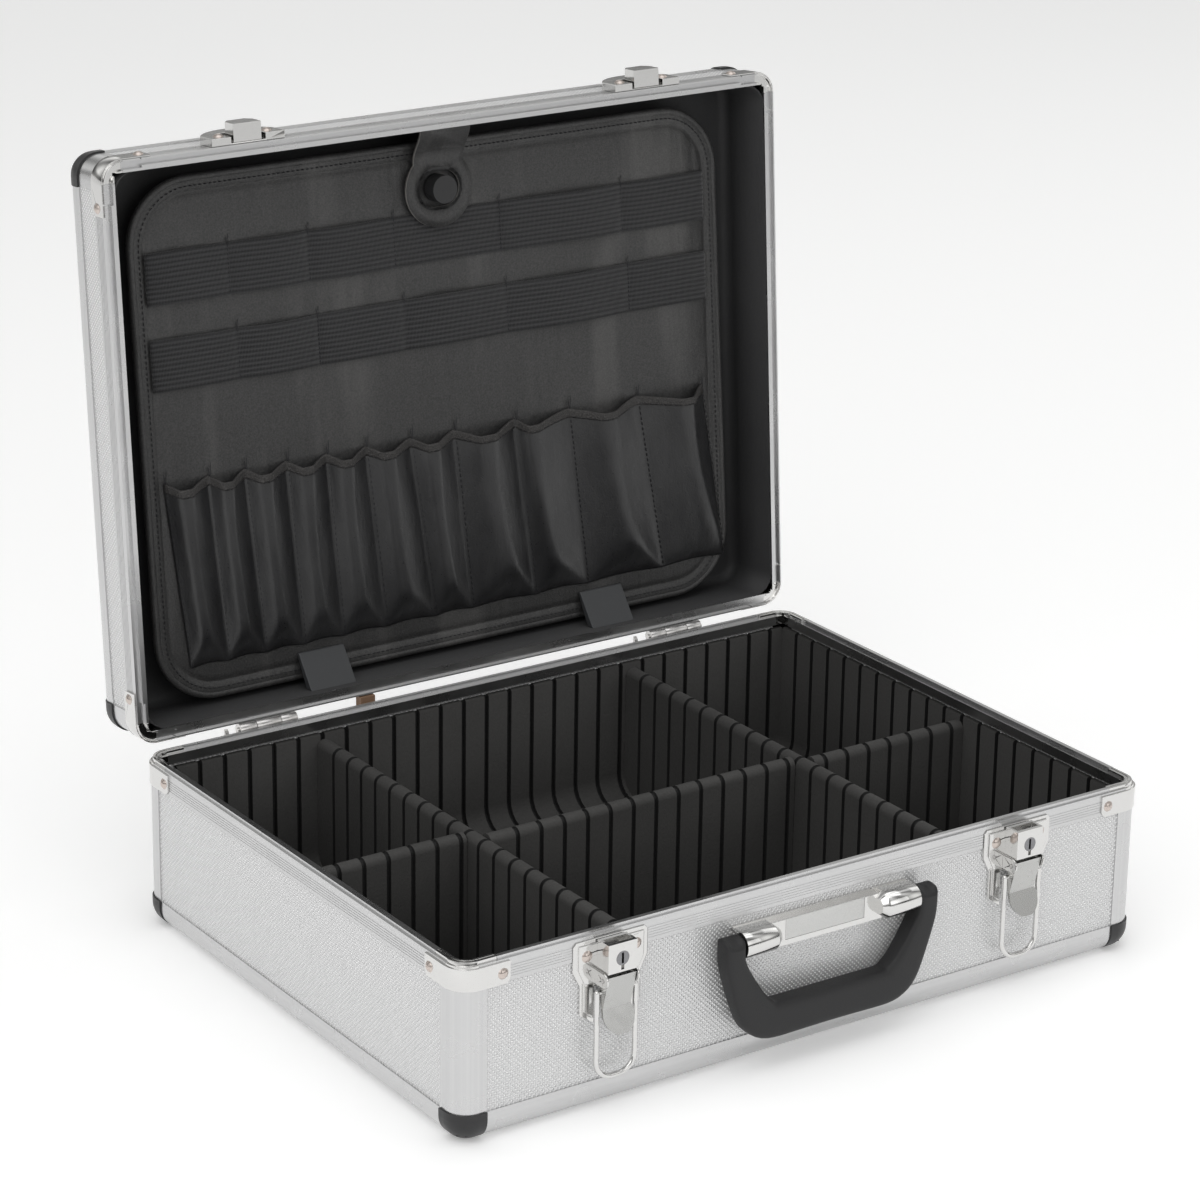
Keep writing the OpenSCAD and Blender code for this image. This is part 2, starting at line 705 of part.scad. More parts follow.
// A rectangle with round corners, grown by "grow" on each side.
module board_outline(grow) {
    r = board_r + grow;
    x = board_half + grow;
    y0 = board_front - grow;
    y1 = board_back + grow;
    translate([-x + r, y0]) square([2 * (x - r), y1 - y0]);
    translate([-x, y0 + r]) square([2 * x, y1 - y0 - 2 * r]);
    for (cx = [-x + r, x - r], cy = [y0 + r, y1 - r]) translate([cx, cy]) circle(r);
}

module tool_board() {
    color("#242426") on_board() linear_extrude(board_t) board_outline(-3);
}
module board_binding() {
    color("#1d1d1f") on_board() linear_extrude(board_t) difference() {
        board_outline(0);
        board_outline(-2.9);
    }
}
// Two flat elastic bands across the board.
module elastic_bands() {
    color("#2d2d2f") on_board() for (y = [-250.5, -200.5])
        translate([-198, y, -1.8]) cube([388, band_w, 1.7]);
}

seams = [-188, -161, -136, -110, -82, -54, -21, 7, 52, 91, 144, 193];
pocket_mouth = -117;
pocket_low = -5;
pocket_deep = 9.2;
leather = 1.2;

// Each pocket is a front wall between two seams, on a common bottom.
module pockets() {
    long = pocket_low - pocket_mouth;
    color("#2b2b2e") on_board() {
        for (k = [0 : len(seams) - 2])
            translate([seams[k] + leather, pocket_mouth, -pocket_deep])
                cube([seams[k + 1] - seams[k] - leather - 0.1, long - leather - 0.1, leather]);
        for (x = seams) translate([x, pocket_mouth, -pocket_deep])
            cube([leather - 0.1, long - leather - 0.1, pocket_deep - 0.1]);
        translate([seams[0], pocket_low - leather, -pocket_deep])
            cube([seams[len(seams) - 1] - seams[0] + leather, leather, pocket_deep - 0.1]);
    }
}

// Two moulded clips on the lid's back wall hold the board's lower edge.
module board_clips() {
    color("#19191b") on_lid() for (x = [-96, 105]) translate([x, 0, lid_z]) along_x(15.5)
        polygon([[in_d - 0.1, 6.5], [in_d - 0.1, 12], [clip_y + 1.5, clip_depth - clear],
            [clip_y, clip_depth - clear], [clip_y, clip_depth - 2]]);
}

// ---- strap that holds the board ----

strap_y = -in_d + 1.2;  // the strap's root, by the lid's front wall
strap_depth = 13;
disc_y = -123;
disc_r = 23;
strap_t = 2;
knob_y = disc_y - clip_y;
knob_r = 8.3;

module strap() {
    color("#262628") on_lid() difference() {
        union() {
            translate([0, 0, lid_z]) along_x(17) polygon([
                [strap_y, strap_depth - 1], [strap_y, strap_depth + 1],
                [-148, 23.7], [-140, 23.9], [-140, 21.9], [-147.4, 21.7]]);
            translate([0, disc_y, lid_z + 21.9]) cylinder(r = disc_r, h = strap_t);
        }
        translate([0, disc_y, lid_z + 20]) linear_extrude(6) strap_slot(0);
    }
}
// A rectangle with half-round ends, grown by "grow" on each side.
module strap_slot(grow) {
    square([6, 2 * (10.8 + grow)], center = true);
    for (s = [-1, 1]) translate([3 * s, 0]) circle(10.8 + grow);
}
module strap_plate() {
    color("#1a1a1c") on_lid() translate([0, disc_y, lid_z + 20.9]) linear_extrude(1) difference() {
        strap_slot(2.2);
        strap_slot(0);
    }
}
module turn_base() {
    color("#1a1a1c") on_board() translate([0, knob_y, -2]) difference() {
        cylinder(r = knob_r, h = 2);
        translate([0, 0, -1]) cylinder(r = 2 + fit, h = 4);
    }
}
module turn_knob() {
    color("#1a1a1c") on_board() translate([0, knob_y, 0]) {
        translate([0, 0, -4]) cylinder(r = 2, h = 4);
        translate([0, 0, -12]) cylinder(r = knob_r, h = 9.7);
    }
}

base_side_panels();
base_bottom_panel();
base_corner_posts();
base_edge_profiles();
base_ball_corners();
base_rims();
base_rim_corners();
base_corner_rivets();
base_wall_lining();
base_floor_lining();
divider_long_left();
divider_long_right();
divider_cross_left();
divider_cross_middle();
divider_cross_right();
handle_bracket();
handle_label();
handle_pins();
handle_grip();
latch_plates();
lever_brackets();
latch_rivets();
lock_bodies();
lock_plug_left();
lock_plug_right();
lever_pins();
lever_left();
lever_right();
bail_left();
bail_right();
hinge_base_leaves();
hinge_pins();
hinge_base_rivets();
stop_fingers();
stop_pad();
lid_side_panels();
lid_top_panel();
lid_corner_posts();
lid_edge_profiles();
lid_ball_corners();
lid_rims();
lid_rim_corners();
lid_corner_rivets();
lid_wall_lining();
lid_top_lining();
hinge_lid_leaves();
hinge_lid_rivets();
keeper_covers();
keeper_hooks();
keeper_rivets();
board_clips();
tool_board();
board_binding();
elastic_bands();
pockets();
turn_base();
turn_knob();
strap();
strap_plate();
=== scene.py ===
# Aluminium attache case, open, with its hardware, foam dividers and padded tool board.
import json
import math

import bmesh
import bpy
from mathutils import Matrix, Vector

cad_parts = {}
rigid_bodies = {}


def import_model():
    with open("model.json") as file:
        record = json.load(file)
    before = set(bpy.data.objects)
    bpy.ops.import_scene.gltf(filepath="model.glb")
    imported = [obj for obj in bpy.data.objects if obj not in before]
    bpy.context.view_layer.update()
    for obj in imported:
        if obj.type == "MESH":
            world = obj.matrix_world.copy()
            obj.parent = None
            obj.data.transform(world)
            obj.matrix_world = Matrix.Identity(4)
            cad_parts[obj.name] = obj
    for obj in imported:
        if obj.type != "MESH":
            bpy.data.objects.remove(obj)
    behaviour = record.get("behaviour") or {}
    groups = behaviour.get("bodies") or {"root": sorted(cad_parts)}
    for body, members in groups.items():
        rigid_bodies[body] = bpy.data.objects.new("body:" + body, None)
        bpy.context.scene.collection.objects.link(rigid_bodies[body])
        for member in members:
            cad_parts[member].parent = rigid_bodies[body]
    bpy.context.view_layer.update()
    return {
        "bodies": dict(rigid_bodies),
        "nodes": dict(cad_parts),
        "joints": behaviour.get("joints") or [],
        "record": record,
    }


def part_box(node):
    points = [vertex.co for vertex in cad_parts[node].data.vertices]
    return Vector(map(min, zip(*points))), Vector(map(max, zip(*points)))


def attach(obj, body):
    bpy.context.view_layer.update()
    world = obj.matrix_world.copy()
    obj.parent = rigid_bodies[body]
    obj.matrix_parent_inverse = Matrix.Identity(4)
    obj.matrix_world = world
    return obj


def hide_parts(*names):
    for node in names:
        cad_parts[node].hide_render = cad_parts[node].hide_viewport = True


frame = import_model()
nodes = frame["nodes"]
joints = {joint["name"]: joint for joint in frame["joints"]}
MM = 0.001

# ---- Studio ----
# A white table under soft light from the upper left, with a long-lens camera in front of the
# left corner of the case, a little above it.
camera_data = bpy.data.cameras.new("studio_camera")
camera_data.sensor_width = 36
camera_data.lens = 116.26
camera_data.shift_x = 0.0322
camera_data.shift_y = -0.0288
camera_data.clip_end = 50
camera = bpy.data.objects.new("studio_camera", camera_data)
bpy.context.scene.collection.objects.link(camera)
azimuth = math.radians(34.02)
elevation = math.radians(19.49)
roll = math.radians(-0.70)
camera.matrix_world = (
    Matrix.Translation((-1.18338, -1.66985, 0.94906))
    @ Matrix.Rotation(-azimuth, 4, "Z")
    @ Matrix.Rotation(math.pi / 2 - elevation, 4, "X")
    @ Matrix.Rotation(-roll, 4, "Z")
)
bpy.context.scene.camera = camera

floor_mesh = bpy.data.meshes.new("studio_floor")
floor_bm = bmesh.new()
bmesh.ops.create_grid(floor_bm, x_segments=1, y_segments=1, size=12)
floor_bm.to_mesh(floor_mesh)
floor_bm.free()
floor = bpy.data.objects.new("studio_floor", floor_mesh)
bpy.context.scene.collection.objects.link(floor)
floor_paint = bpy.data.materials.new("studio_floor")
floor_paint.use_nodes = True
floor_shader = floor_paint.node_tree.nodes["Principled BSDF"]
floor_shader.inputs["Base Color"].default_value = (0.93, 0.93, 0.93, 1)
floor_shader.inputs["Roughness"].default_value = 0.8
floor_shader.inputs["Specular IOR Level"].default_value = 0.1
floor_shader.inputs["Emission Color"].default_value = (1, 1, 1, 1)
floor_shader.inputs["Emission Strength"].default_value = 0.22
floor_mesh.materials.append(floor_paint)

world = bpy.data.worlds.new("studio")
bpy.context.scene.world = world
world.use_nodes = True
sky = world.node_tree
sky.nodes.clear()
sky_out = sky.nodes.new("ShaderNodeOutputWorld")
sky_mix = sky.nodes.new("ShaderNodeMixShader")
sky_path = sky.nodes.new("ShaderNodeLightPath")
backdrop = sky.nodes.new("ShaderNodeBackground")
backdrop.inputs["Color"].default_value = (1, 1, 1, 1)
backdrop.inputs["Strength"].default_value = 1.0
surround = sky.nodes.new("ShaderNodeBackground")
surround.inputs["Strength"].default_value = 0.85
sky_place = sky.nodes.new("ShaderNodeTexCoord")
sky_split = sky.nodes.new("ShaderNodeSeparateXYZ")
sky_ramp = sky.nodes.new("ShaderNodeValToRGB")
sky.links.new(sky_place.outputs["Generated"], sky_split.inputs[0])
sky.links.new(sky_split.outputs["Z"], sky_ramp.inputs["Fac"])
sky_turn = sky.nodes.new("ShaderNodeMath")
sky_turn.operation = "ARCTAN2"
sky.links.new(sky_split.outputs["Y"], sky_turn.inputs[0])
sky.links.new(sky_split.outputs["X"], sky_turn.inputs[1])
sky_count = sky.nodes.new("ShaderNodeMath")
sky_count.operation = "MULTIPLY"
sky_count.inputs[1].default_value = 7
sky_bands = sky.nodes.new("ShaderNodeMath")
sky_bands.operation = "SINE"
sky_level = sky.nodes.new("ShaderNodeMapRange")
sky_level.inputs["From Min"].default_value = -1
sky_level.inputs["To Min"].default_value = 0.35
sky_level.inputs["To Max"].default_value = 1.2
sky.links.new(sky_turn.outputs[0], sky_count.inputs[0])
sky.links.new(sky_count.outputs[0], sky_bands.inputs[0])
sky.links.new(sky_bands.outputs[0], sky_level.inputs["Value"])
sky_tone = sky.nodes.new("ShaderNodeVectorMath")
sky_tone.operation = "SCALE"
sky.links.new(sky_ramp.outputs["Color"], sky_tone.inputs[0])
sky.links.new(sky_level.outputs[0], sky_tone.inputs["Scale"])
sky.links.new(sky_tone.outputs[0], surround.inputs["Color"])
ramp = sky_ramp.color_ramp
ramp.elements[0].position = 0.0
ramp.elements[0].color = (0.62, 0.61, 0.60, 1)
ramp.elements[1].position = 1.0
ramp.elements[1].color = (1, 1, 1, 1)
for place, tone in ((0.03, 0.20), (0.14, 0.35), (0.22, 1.0), (0.45, 0.95), (0.62, 0.55)):
    stop = ramp.elements.new(place)
    stop.color = (tone, tone, tone * 0.985, 1)
sky.links.new(sky_path.outputs["Is Camera Ray"], sky_mix.inputs["Fac"])
sky.links.new(surround.outputs[0], sky_mix.inputs[1])
sky.links.new(backdrop.outputs[0], sky_mix.inputs[2])
sky.links.new(sky_mix.outputs[0], sky_out.inputs["Surface"])


def softbox(name, place, aim, width, height, power):
    """A rectangular studio light at a place, turned towards a point."""
    lamp = bpy.data.lights.new(name, "AREA")
    lamp.shape = "RECTANGLE"
    lamp.size = width
    lamp.size_y = height
    lamp.energy = power
    light = bpy.data.objects.new(name, lamp)
    bpy.context.scene.collection.objects.link(light)
    turn = (Vector(aim) - Vector(place)).to_track_quat("-Z", "Y")
    light.matrix_world = Matrix.Translation(place) @ turn.to_matrix().to_4x4()
    return light


softbox("key_softbox", (-1.6, -0.9, 1.9), (0, 0, 0.15), 2.2, 2.2, 19)
softbox("front_softbox", (0.5, -2.6, 1.3), (0, 0, 0.1), 2.4, 1.4, 7)
softbox("right_softbox", (2.4, 0.2, 1.4), (0, 0, 0.2), 1.8, 1.8, 6)
softbox("top_softbox", (0, -0.1, 2.8), (0, 0, 0), 2.4, 2.4, 14)
bpy.context.scene.view_settings.view_transform = "Standard"
bpy.context.scene.view_settings.look = "None"

# ---- Profiles ----
# Drawn aluminium angles and rims, satin anodised. They are slotted over the panels and show fine
# lines along their length.


def new_group(name, inputs, outputs):
    """A shader node group with named float, colour or vector sockets."""
    group = bpy.data.node_groups.new(name, "ShaderNodeTree")
    for label, kind, value in inputs:
        socket = group.interface.new_socket(label, in_out="INPUT", socket_type="NodeSocket" + kind)
        if value is not None:
            socket.default_value = value
    for label, kind in outputs:
        group.interface.new_socket(label, in_out="OUTPUT", socket_type="NodeSocket" + kind)
    group.nodes.new("NodeGroupInput")
    group.nodes.new("NodeGroupOutput")
    return group, group.nodes["Group Input"], group.nodes["Group Output"]


def math_node(tree, operation, first, second=None):
    """A Math node fed by two sockets or numbers."""
    node = tree.nodes.new("ShaderNodeMath")
    node.operation = operation
    for slot, value in ((0, first), (1, second)):
        if value is None:
            continue
        if isinstance(value, (int, float)):
            node.inputs[slot].default_value = value
        else:
            tree.links.new(value, node.inputs[slot])
    return node.outputs[0]


grain_group, grain_in, grain_out = new_group(
    "surface_grain",
    [("Vector", "Vector", None), ("Scale", "Float", 100.0), ("Low", "Float", 0.3), ("High", "Float", 0.5)],
    [("Value", "Float"), ("Height", "Float")],
)
grain_noise = grain_group.nodes.new("ShaderNodeTexNoise")
grain_noise.inputs["Detail"].default_value = 4
grain_range = grain_group.nodes.new("ShaderNodeMapRange")
grain_range.inputs["From Min"].default_value = 0.3
grain_range.inputs["From Max"].default_value = 0.7
grain_group.links.new(grain_in.outputs["Vector"], grain_noise.inputs["Vector"])
grain_group.links.new(grain_in.outputs["Scale"], grain_noise.inputs["Scale"])
grain_group.links.new(grain_noise.outputs[0], grain_range.inputs["Value"])
grain_group.links.new(grain_in.outputs["Low"], grain_range.inputs["To Min"])
grain_group.links.new(grain_in.outputs["High"], grain_range.inputs["To Max"])
grain_group.links.new(grain_range.outputs[0], grain_out.inputs["Value"])
grain_group.links.new(grain_noise.outputs[0], grain_out.inputs["Height"])


def start_material(name, color, metallic, roughness):
    """A Principled material with Object coordinates at hand."""
    material = bpy.data.materials.new(name)
    material.use_nodes = True
    tree = material.node_tree
    shader = tree.nodes["Principled BSDF"]
    shader.inputs["Base Color"].default_value = (*color, 1)
    shader.inputs["Metallic"].default_value = metallic
    shader.inputs["Roughness"].default_value = roughness
    place = tree.nodes.new("ShaderNodeTexCoord")
    return material, tree, shader, place


def add_grain(tree, place, scale, low, high, stretch=(1, 1, 1)):
    """Places the grain group, with its pattern drawn out along the axes by "stretch"."""
    mapping = tree.nodes.new("ShaderNodeMapping")
    mapping.inputs["Scale"].default_value = stretch
    node = tree.nodes.new("ShaderNodeGroup")
    node.node_tree = grain_group
    node.inputs["Scale"].default_value = scale
    node.inputs["Low"].default_value = low
    node.inputs["High"].default_value = high
    tree.links.new(place.outputs["Object"], mapping.inputs["Vector"])
    tree.links.new(mapping.outputs[0], node.inputs["Vector"])
    return node


def add_bump(tree, shader, height, depth, strength=1.0):
    """Feeds a height in metres of "depth" to the shader's normal."""
    bump = tree.nodes.new("ShaderNodeBump")
    bump.inputs["Strength"].default_value = strength
    bump.inputs["Distance"].default_value = depth
    tree.links.new(height, bump.inputs["Height"])
    tree.links.new(bump.outputs[0], shader.inputs["Normal"])
    return bump


def tint(tree, shader, value, dark, light):
    """Mixes two colours by a value into the base colour."""
    mix = tree.nodes.new("ShaderNodeMix")
    mix.data_type = "RGBA"
    mix.inputs["A"].default_value = (*dark, 1)
    mix.inputs["B"].default_value = (*light, 1)
    tree.links.new(value, mix.inputs["Factor"])
    tree.links.new(mix.outputs["Result"], shader.inputs["Base Color"])


def profile_metal(name, stretch):
    """Satin drawn aluminium, its lines running along the axis that "stretch" keeps small."""
    material, tree, shader, place = start_material(name, (0.66, 0.66, 0.66), 1.0, 0.3)
    grain = add_grain(tree, place, 1000, 0.0, 1.0, stretch)
    cloud = add_grain(tree, place, 30, 0.24, 0.33)
    tree.links.new(cloud.outputs["Value"], shader.inputs["Roughness"])
    tint(tree, shader, grain.outputs["Value"], (0.58, 0.58, 0.585), (0.63, 0.63, 0.63))
    return material


def dress(names, material, bevel=0.0, segments=2):
    """Gives CAD nodes their material, and eased edges where "bevel" is set."""
    for name in names.split():
        node = nodes[name]
        node.data.materials.clear()
        node.data.materials.append(material)
        if bevel:
            weld = node.modifiers.new("weld", "WELD")
            weld.merge_threshold = 0.000002
            ease = node.modifiers.new("ease", "BEVEL")
            ease.width = bevel
            ease.segments = segments
            ease.limit_method = "ANGLE"
            ease.angle_limit = math.radians(40)
            ease.harden_normals = False


dress("base_edge_profiles base_rims", profile_metal("drawn_aluminium", (0.0004, 0.0004, 0.6)))
dress("base_corner_posts", profile_metal("drawn_aluminium_posts", (0.6, 0.6, 0.0004)))
dress("lid_edge_profiles lid_rims", profile_metal("drawn_aluminium_lid", (0.0004, 0.6, 0.0004)))
dress("lid_corner_posts", profile_metal("drawn_aluminium_lid_posts", (0.6, 0.0004, 0.6)))

# ---- Panels ----
# Thin board faced with aluminium sheet, embossed all over with small raised dots in staggered
# rows. The pattern repeats every 2.84 mm, which puts its diagonal rows 2 mm apart.
dots_group, dots_in, dots_out = new_group(
    "embossed_dots",
    [("Vector", "Vector", None), ("Normal", "Vector", None), ("Pitch", "Float", 0.00284)],
    [("Height", "Float"), ("Mask", "Float")],
)
dots_place = dots_group.nodes.new("ShaderNodeSeparateXYZ")
dots_facing = dots_group.nodes.new("ShaderNodeSeparateXYZ")
dots_group.links.new(dots_in.outputs["Vector"], dots_place.inputs[0])
dots_group.links.new(dots_in.outputs["Normal"], dots_facing.inputs[0])
turns = math_node(dots_group, "DIVIDE", 2 * math.pi, dots_in.outputs["Pitch"])
waves = {}
for axis in "XYZ":
    wave_turn = math_node(dots_group, "MULTIPLY", dots_place.outputs[axis], turns)
    waves[axis] = math_node(dots_group, "SINE", wave_turn)
height = None
for axis, first, second in (("X", "Y", "Z"), ("Y", "X", "Z"), ("Z", "X", "Y")):
    facing = math_node(dots_group, "GREATER_THAN",
                       math_node(dots_group, "ABSOLUTE", dots_facing.outputs[axis]), 0.75)
    lattice = math_node(dots_group, "MULTIPLY", waves[first], waves[second])
    part = math_node(dots_group, "MULTIPLY", facing, math_node(dots_group, "MAXIMUM", lattice, 0.0))
    height = part if height is None else math_node(dots_group, "ADD", height, part)
dots_group.links.new(height, dots_out.inputs["Height"])
# The dot tops are painted near white: a painted highlight on the embossing.
dot_top_highlight = dots_group.nodes.new("ShaderNodeMapRange")
dot_top_highlight.interpolation_type = "SMOOTHSTEP"
dot_top_highlight.inputs["From Min"].default_value = 0.05
dot_top_highlight.inputs["From Max"].default_value = 0.6
dots_group.links.new(height, dot_top_highlight.inputs["Value"])
dots_group.links.new(dot_top_highlight.outputs[0], dots_out.inputs["Mask"])


def panel_metal(name, turn):
    """Embossed sheet; "turn" lays the pattern square on a panel that stands at an angle."""
    material, tree, shader, place = start_material(name, (0.8, 0.8, 0.81), 0.45, 0.3)
    dots = tree.nodes.new("ShaderNodeGroup")
    dots.node_tree = dots_group
    for output, kind in (("Object", "POINT"), ("Normal", "NORMAL")):
        mapping = tree.nodes.new("ShaderNodeMapping")
        mapping.vector_type = kind
        mapping.inputs["Rotation"].default_value = (turn, 0, 0)
        tree.links.new(place.outputs[output], mapping.inputs["Vector"])
        tree.links.new(mapping.outputs[0], dots.inputs["Vector" if output == "Object" else "Normal"])
    grain = add_grain(tree, place, 35, 0.30, 0.40)
    tree.links.new(grain.outputs["Value"], shader.inputs["Roughness"])
    # The tint toward white on the dot tops is a painted highlight.
    tint(tree, shader, dots.outputs["Mask"], (0.66, 0.66, 0.665), (1.0, 1.0, 1.0))
    add_bump(tree, shader, dots.outputs["Height"], 0.0005)
    return material


open_angle = -math.radians(joints["lid_hinge"]["range_deg"][0])
dress("base_side_panels base_bottom_panel", panel_metal("embossed_sheet", 0))
dress("lid_side_panels lid_top_panel", panel_metal("embossed_sheet_lid", open_angle))

# ---- Bright fittings ----
# Pressed steel latches, keepers, rim corners and handle bracket, chrome plated and polished, with
# steel rivets set through them.


def bright_metal(name, color, low, high, scale=140):
    """Plated or bare metal with faint polishing variation."""
    material, tree, shader, place = start_material(name, color, 1.0, low)
    grain = add_grain(tree, place, scale, low, high)
    tree.links.new(grain.outputs["Value"], shader.inputs["Roughness"])
    add_bump(tree, shader, grain.outputs["Height"], 0.000004)
    return material


chrome = bright_metal("polished_chrome", (0.70, 0.695, 0.685), 0.08, 0.15)
dress("base_rim_corners lid_rim_corners", chrome, 0.0005)
dress("handle_bracket latch_plates lever_brackets lock_bodies", chrome, 0.0004)
dress("keeper_covers keeper_hooks", chrome, 0.0011, 3)
steel = bright_metal("bright_steel", (0.62, 0.61, 0.60), 0.18, 0.30)
dress("handle_pins lever_pins hinge_pins", steel)
dress("hinge_base_leaves hinge_lid_leaves stop_fingers", steel, 0.0002)
dark_steel = bright_metal("lock_steel", (0.26, 0.26, 0.27), 0.25, 0.4)
dress("lock_plug_left lock_plug_right", dark_steel, 0.0002)
rivet_steel = bright_metal("rivet_steel", (0.60, 0.53, 0.49), 0.22, 0.34)
dress("base_corner_rivets lid_corner_rivets latch_rivets keeper_rivets", rivet_steel)
dress("hinge_base_rivets hinge_lid_rivets", rivet_steel)

label_metal, label_tree, label_shader, label_place = start_material("blank_label", (0.7, 0.7, 0.69), 0.9, 0.5)
label_grain = add_grain(label_tree, label_place, 2600, 0.35, 0.7)
label_tree.links.new(label_grain.outputs["Value"], label_shader.inputs["Roughness"])
tint(label_tree, label_shader, label_grain.outputs["Height"], (0.5, 0.5, 0.49), (0.86, 0.86, 0.85))
add_bump(label_tree, label_shader, label_grain.outputs["Height"], 0.0002)
dress("handle_label", label_metal)

# ---- Moulded black pieces ----
# Ball corners, board clips and the small pad at the back, in moulded plastic and rubber.


def moulded(name, dark, light, low, high, depth):
    """Moulded plastic or rubber with a fine spark-eroded grain."""
    material, tree, shader, place = start_material(name, dark, 0.0, low)
    shader.inputs["Specular IOR Level"].default_value = 0.45
    grain = add_grain(tree, place, 1500, low, high)
    tree.links.new(grain.outputs["Value"], shader.inputs["Roughness"])
    tint(tree, shader, grain.outputs["Height"], dark, light)
    add_bump(tree, shader, grain.outputs["Height"], depth)
    return material


black_plastic = moulded("black_plastic", (0.012, 0.012, 0.013), (0.03, 0.03, 0.031), 0.34, 0.46, 0.00006)
dress("base_ball_corners lid_ball_corners", black_plastic)
grey_clip = moulded("clip_plastic", (0.035, 0.037, 0.040), (0.055, 0.057, 0.06), 0.42, 0.55, 0.00004)
dress("board_clips", grey_clip, 0.0006)
dress("stop_pad", moulded("brown_pad", (0.16, 0.09, 0.05), (0.26, 0.16, 0.10), 0.6, 0.8, 0.0001), 0.0004)

# ---- Foam linings of the base ----
# Moulded foam sheets with upright ribs, glued inside the panels. They turn out at the foot in a
# soft curve, and the grooves between the ribs take the dividers' ends.


def finish_piece(name, bm, material, body, place=None, smooth=40, subdivide=0, second=None):
    """Makes an object of a bmesh, put in its place, and lets it ride on a body."""
    if place is not None:
        bmesh.ops.transform(bm, matrix=place, verts=bm.verts)
    bmesh.ops.remove_doubles(bm, verts=bm.verts, dist=0.000005)
    bmesh.ops.recalc_face_normals(bm, faces=bm.faces)
    mesh = bpy.data.meshes.new(name)
    bm.to_mesh(mesh)
    bm.free()
    piece = bpy.data.objects.new(name, mesh)
    bpy.context.scene.collection.objects.link(piece)
    mesh.materials.append(material)
    if second is not None:
        mesh.materials.append(second)
    for polygon in mesh.polygons:
        polygon.use_smooth = True
    mesh.set_sharp_from_angle(angle=math.radians(smooth))
    if subdivide:
        smoother = piece.modifiers.new("subdivision", "SUBSURF")
        smoother.levels = subdivide
        smoother.render_levels = subdivide
    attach(piece, body)
    return piece


def extrude_ring(bm, edges):
    """Extrudes edges in place, and gives the new edges, vertices and faces."""
    out = bmesh.ops.extrude_edge_only(bm, edges=edges)["geom"]
    verts = {item for item in out if isinstance(item, bmesh.types.BMVert)}
    ring = [item for item in out if isinstance(item, bmesh.types.BMEdge)
            and item.verts[0] in verts and item.verts[1] in verts]
    faces = [item for item in out if isinstance(item, bmesh.types.BMFace)]
    return ring, verts, faces


def ribbed_foam(outline, start, end, pitch, phase, groove, depth):
    """Foam with an outline of (y, z, how far the groove cuts in y, in z), drawn along X."""
    bm = bmesh.new()
    ring = [bm.verts.new((start, y, z)) for y, z, cut_y, cut_z in outline]
    bm.faces.new(ring)
    edges = list(bm.edges)
    ease = 0.45 * MM
    stations = []
    place = phase + math.ceil((start + groove - phase) / pitch) * pitch
    while place < end - groove:
        stations += [(place - groove / 2, 0), (place - groove / 2 + ease, 1),
                     (place + groove / 2 - ease, 1), (place + groove / 2, 0)]
        place += pitch
    stations.append((end, 0))
    cuts = {(round(y, 6), round(z, 6)): (cut_y, cut_z) for y, z, cut_y, cut_z in outline}
    homes = {vert: key for vert, key in zip(ring, cuts)}
    sunk = 0
    for place, low in stations:
        before = {vert: homes[vert] for edge in edges for vert in edge.verts}
        edges, verts, faces = extrude_ring(bm, edges)
        for vert in verts:
            near = next(other for edge in vert.link_edges for other in edge.verts if other in before)
            homes[vert] = before[near]
            cut_y, cut_z = cuts[homes[vert]]
            vert.co = (place, homes[vert][0] + low * depth * cut_y, homes[vert][1] + low * depth * cut_z)
        for face in faces:
            # Faces down in a groove take the second material slot: a near-black foam that is painted shade
            # for the groove bottoms.
            cut = any(cuts[homes[vert]] != (0, 0) for vert in face.verts)
            face.material_index = 1 if cut and (low or sunk) else 0
        sunk = low
    bmesh.ops.holes_fill(bm, edges=edges)
    return bm


def foam_finish(name, dark, light):
    """Fine closed-cell foam with a little dust and patchy sheen."""
    material, tree, shader, place = start_material(name, dark, 0.0, 0.8)
    shader.inputs["Specular IOR Level"].default_value = 0.3
    grain = add_grain(tree, place, 700, 0.62, 0.85)
    cloud = add_grain(tree, place, 14, 0.2, 0.8)
    tree.links.new(grain.outputs["Value"], shader.inputs["Roughness"])
    tint(tree, shader, cloud.outputs["Value"], dark, light)
    add_bump(tree, shader, grain.outputs["Height"], 0.00025)
    return material


foam = foam_finish("ribbed_foam", (0.042, 0.041, 0.040), (0.062, 0.061, 0.059))
# The groove foam is painted shade, near-black so that the rib grooves read as dark lines.
foam_groove_painted_shade = foam_finish("ribbed_foam_groove", (0.008, 0.008, 0.008), (0.013, 0.013, 0.013))

lining_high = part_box("base_wall_lining")[1]
floor_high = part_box("base_floor_lining")[1]
inside_x, inside_y = floor_high[0], floor_high[1]
floor_top = floor_high[2]
wall_t = 3.2 * MM
wall_top = lining_high[2] - 2.5 * MM
cove = 14 * MM
wall_outline = [(0, floor_top - 3 * MM, 0, 0), (0, wall_top, 0, -0.3), (1.8 * MM, wall_top, 0, -0.5),
                (2.7 * MM, wall_top - 0.4 * MM, -0.8, -0.4), (wall_t, wall_top - 1.4 * MM, -1, 0),
                (wall_t, floor_top + cove, -1, 0)]
for k in range(1, 6):
    a = math.radians(18 * k)
    wall_outline.append((wall_t + cove * (1 - math.cos(a)), floor_top + cove * (1 - math.sin(a)) + 0.2 * MM,
                         -math.cos(a), -math.sin(a)))
wall_outline.append((wall_t + cove, floor_top - 3 * MM, 0, 0))
walls = bmesh.new()
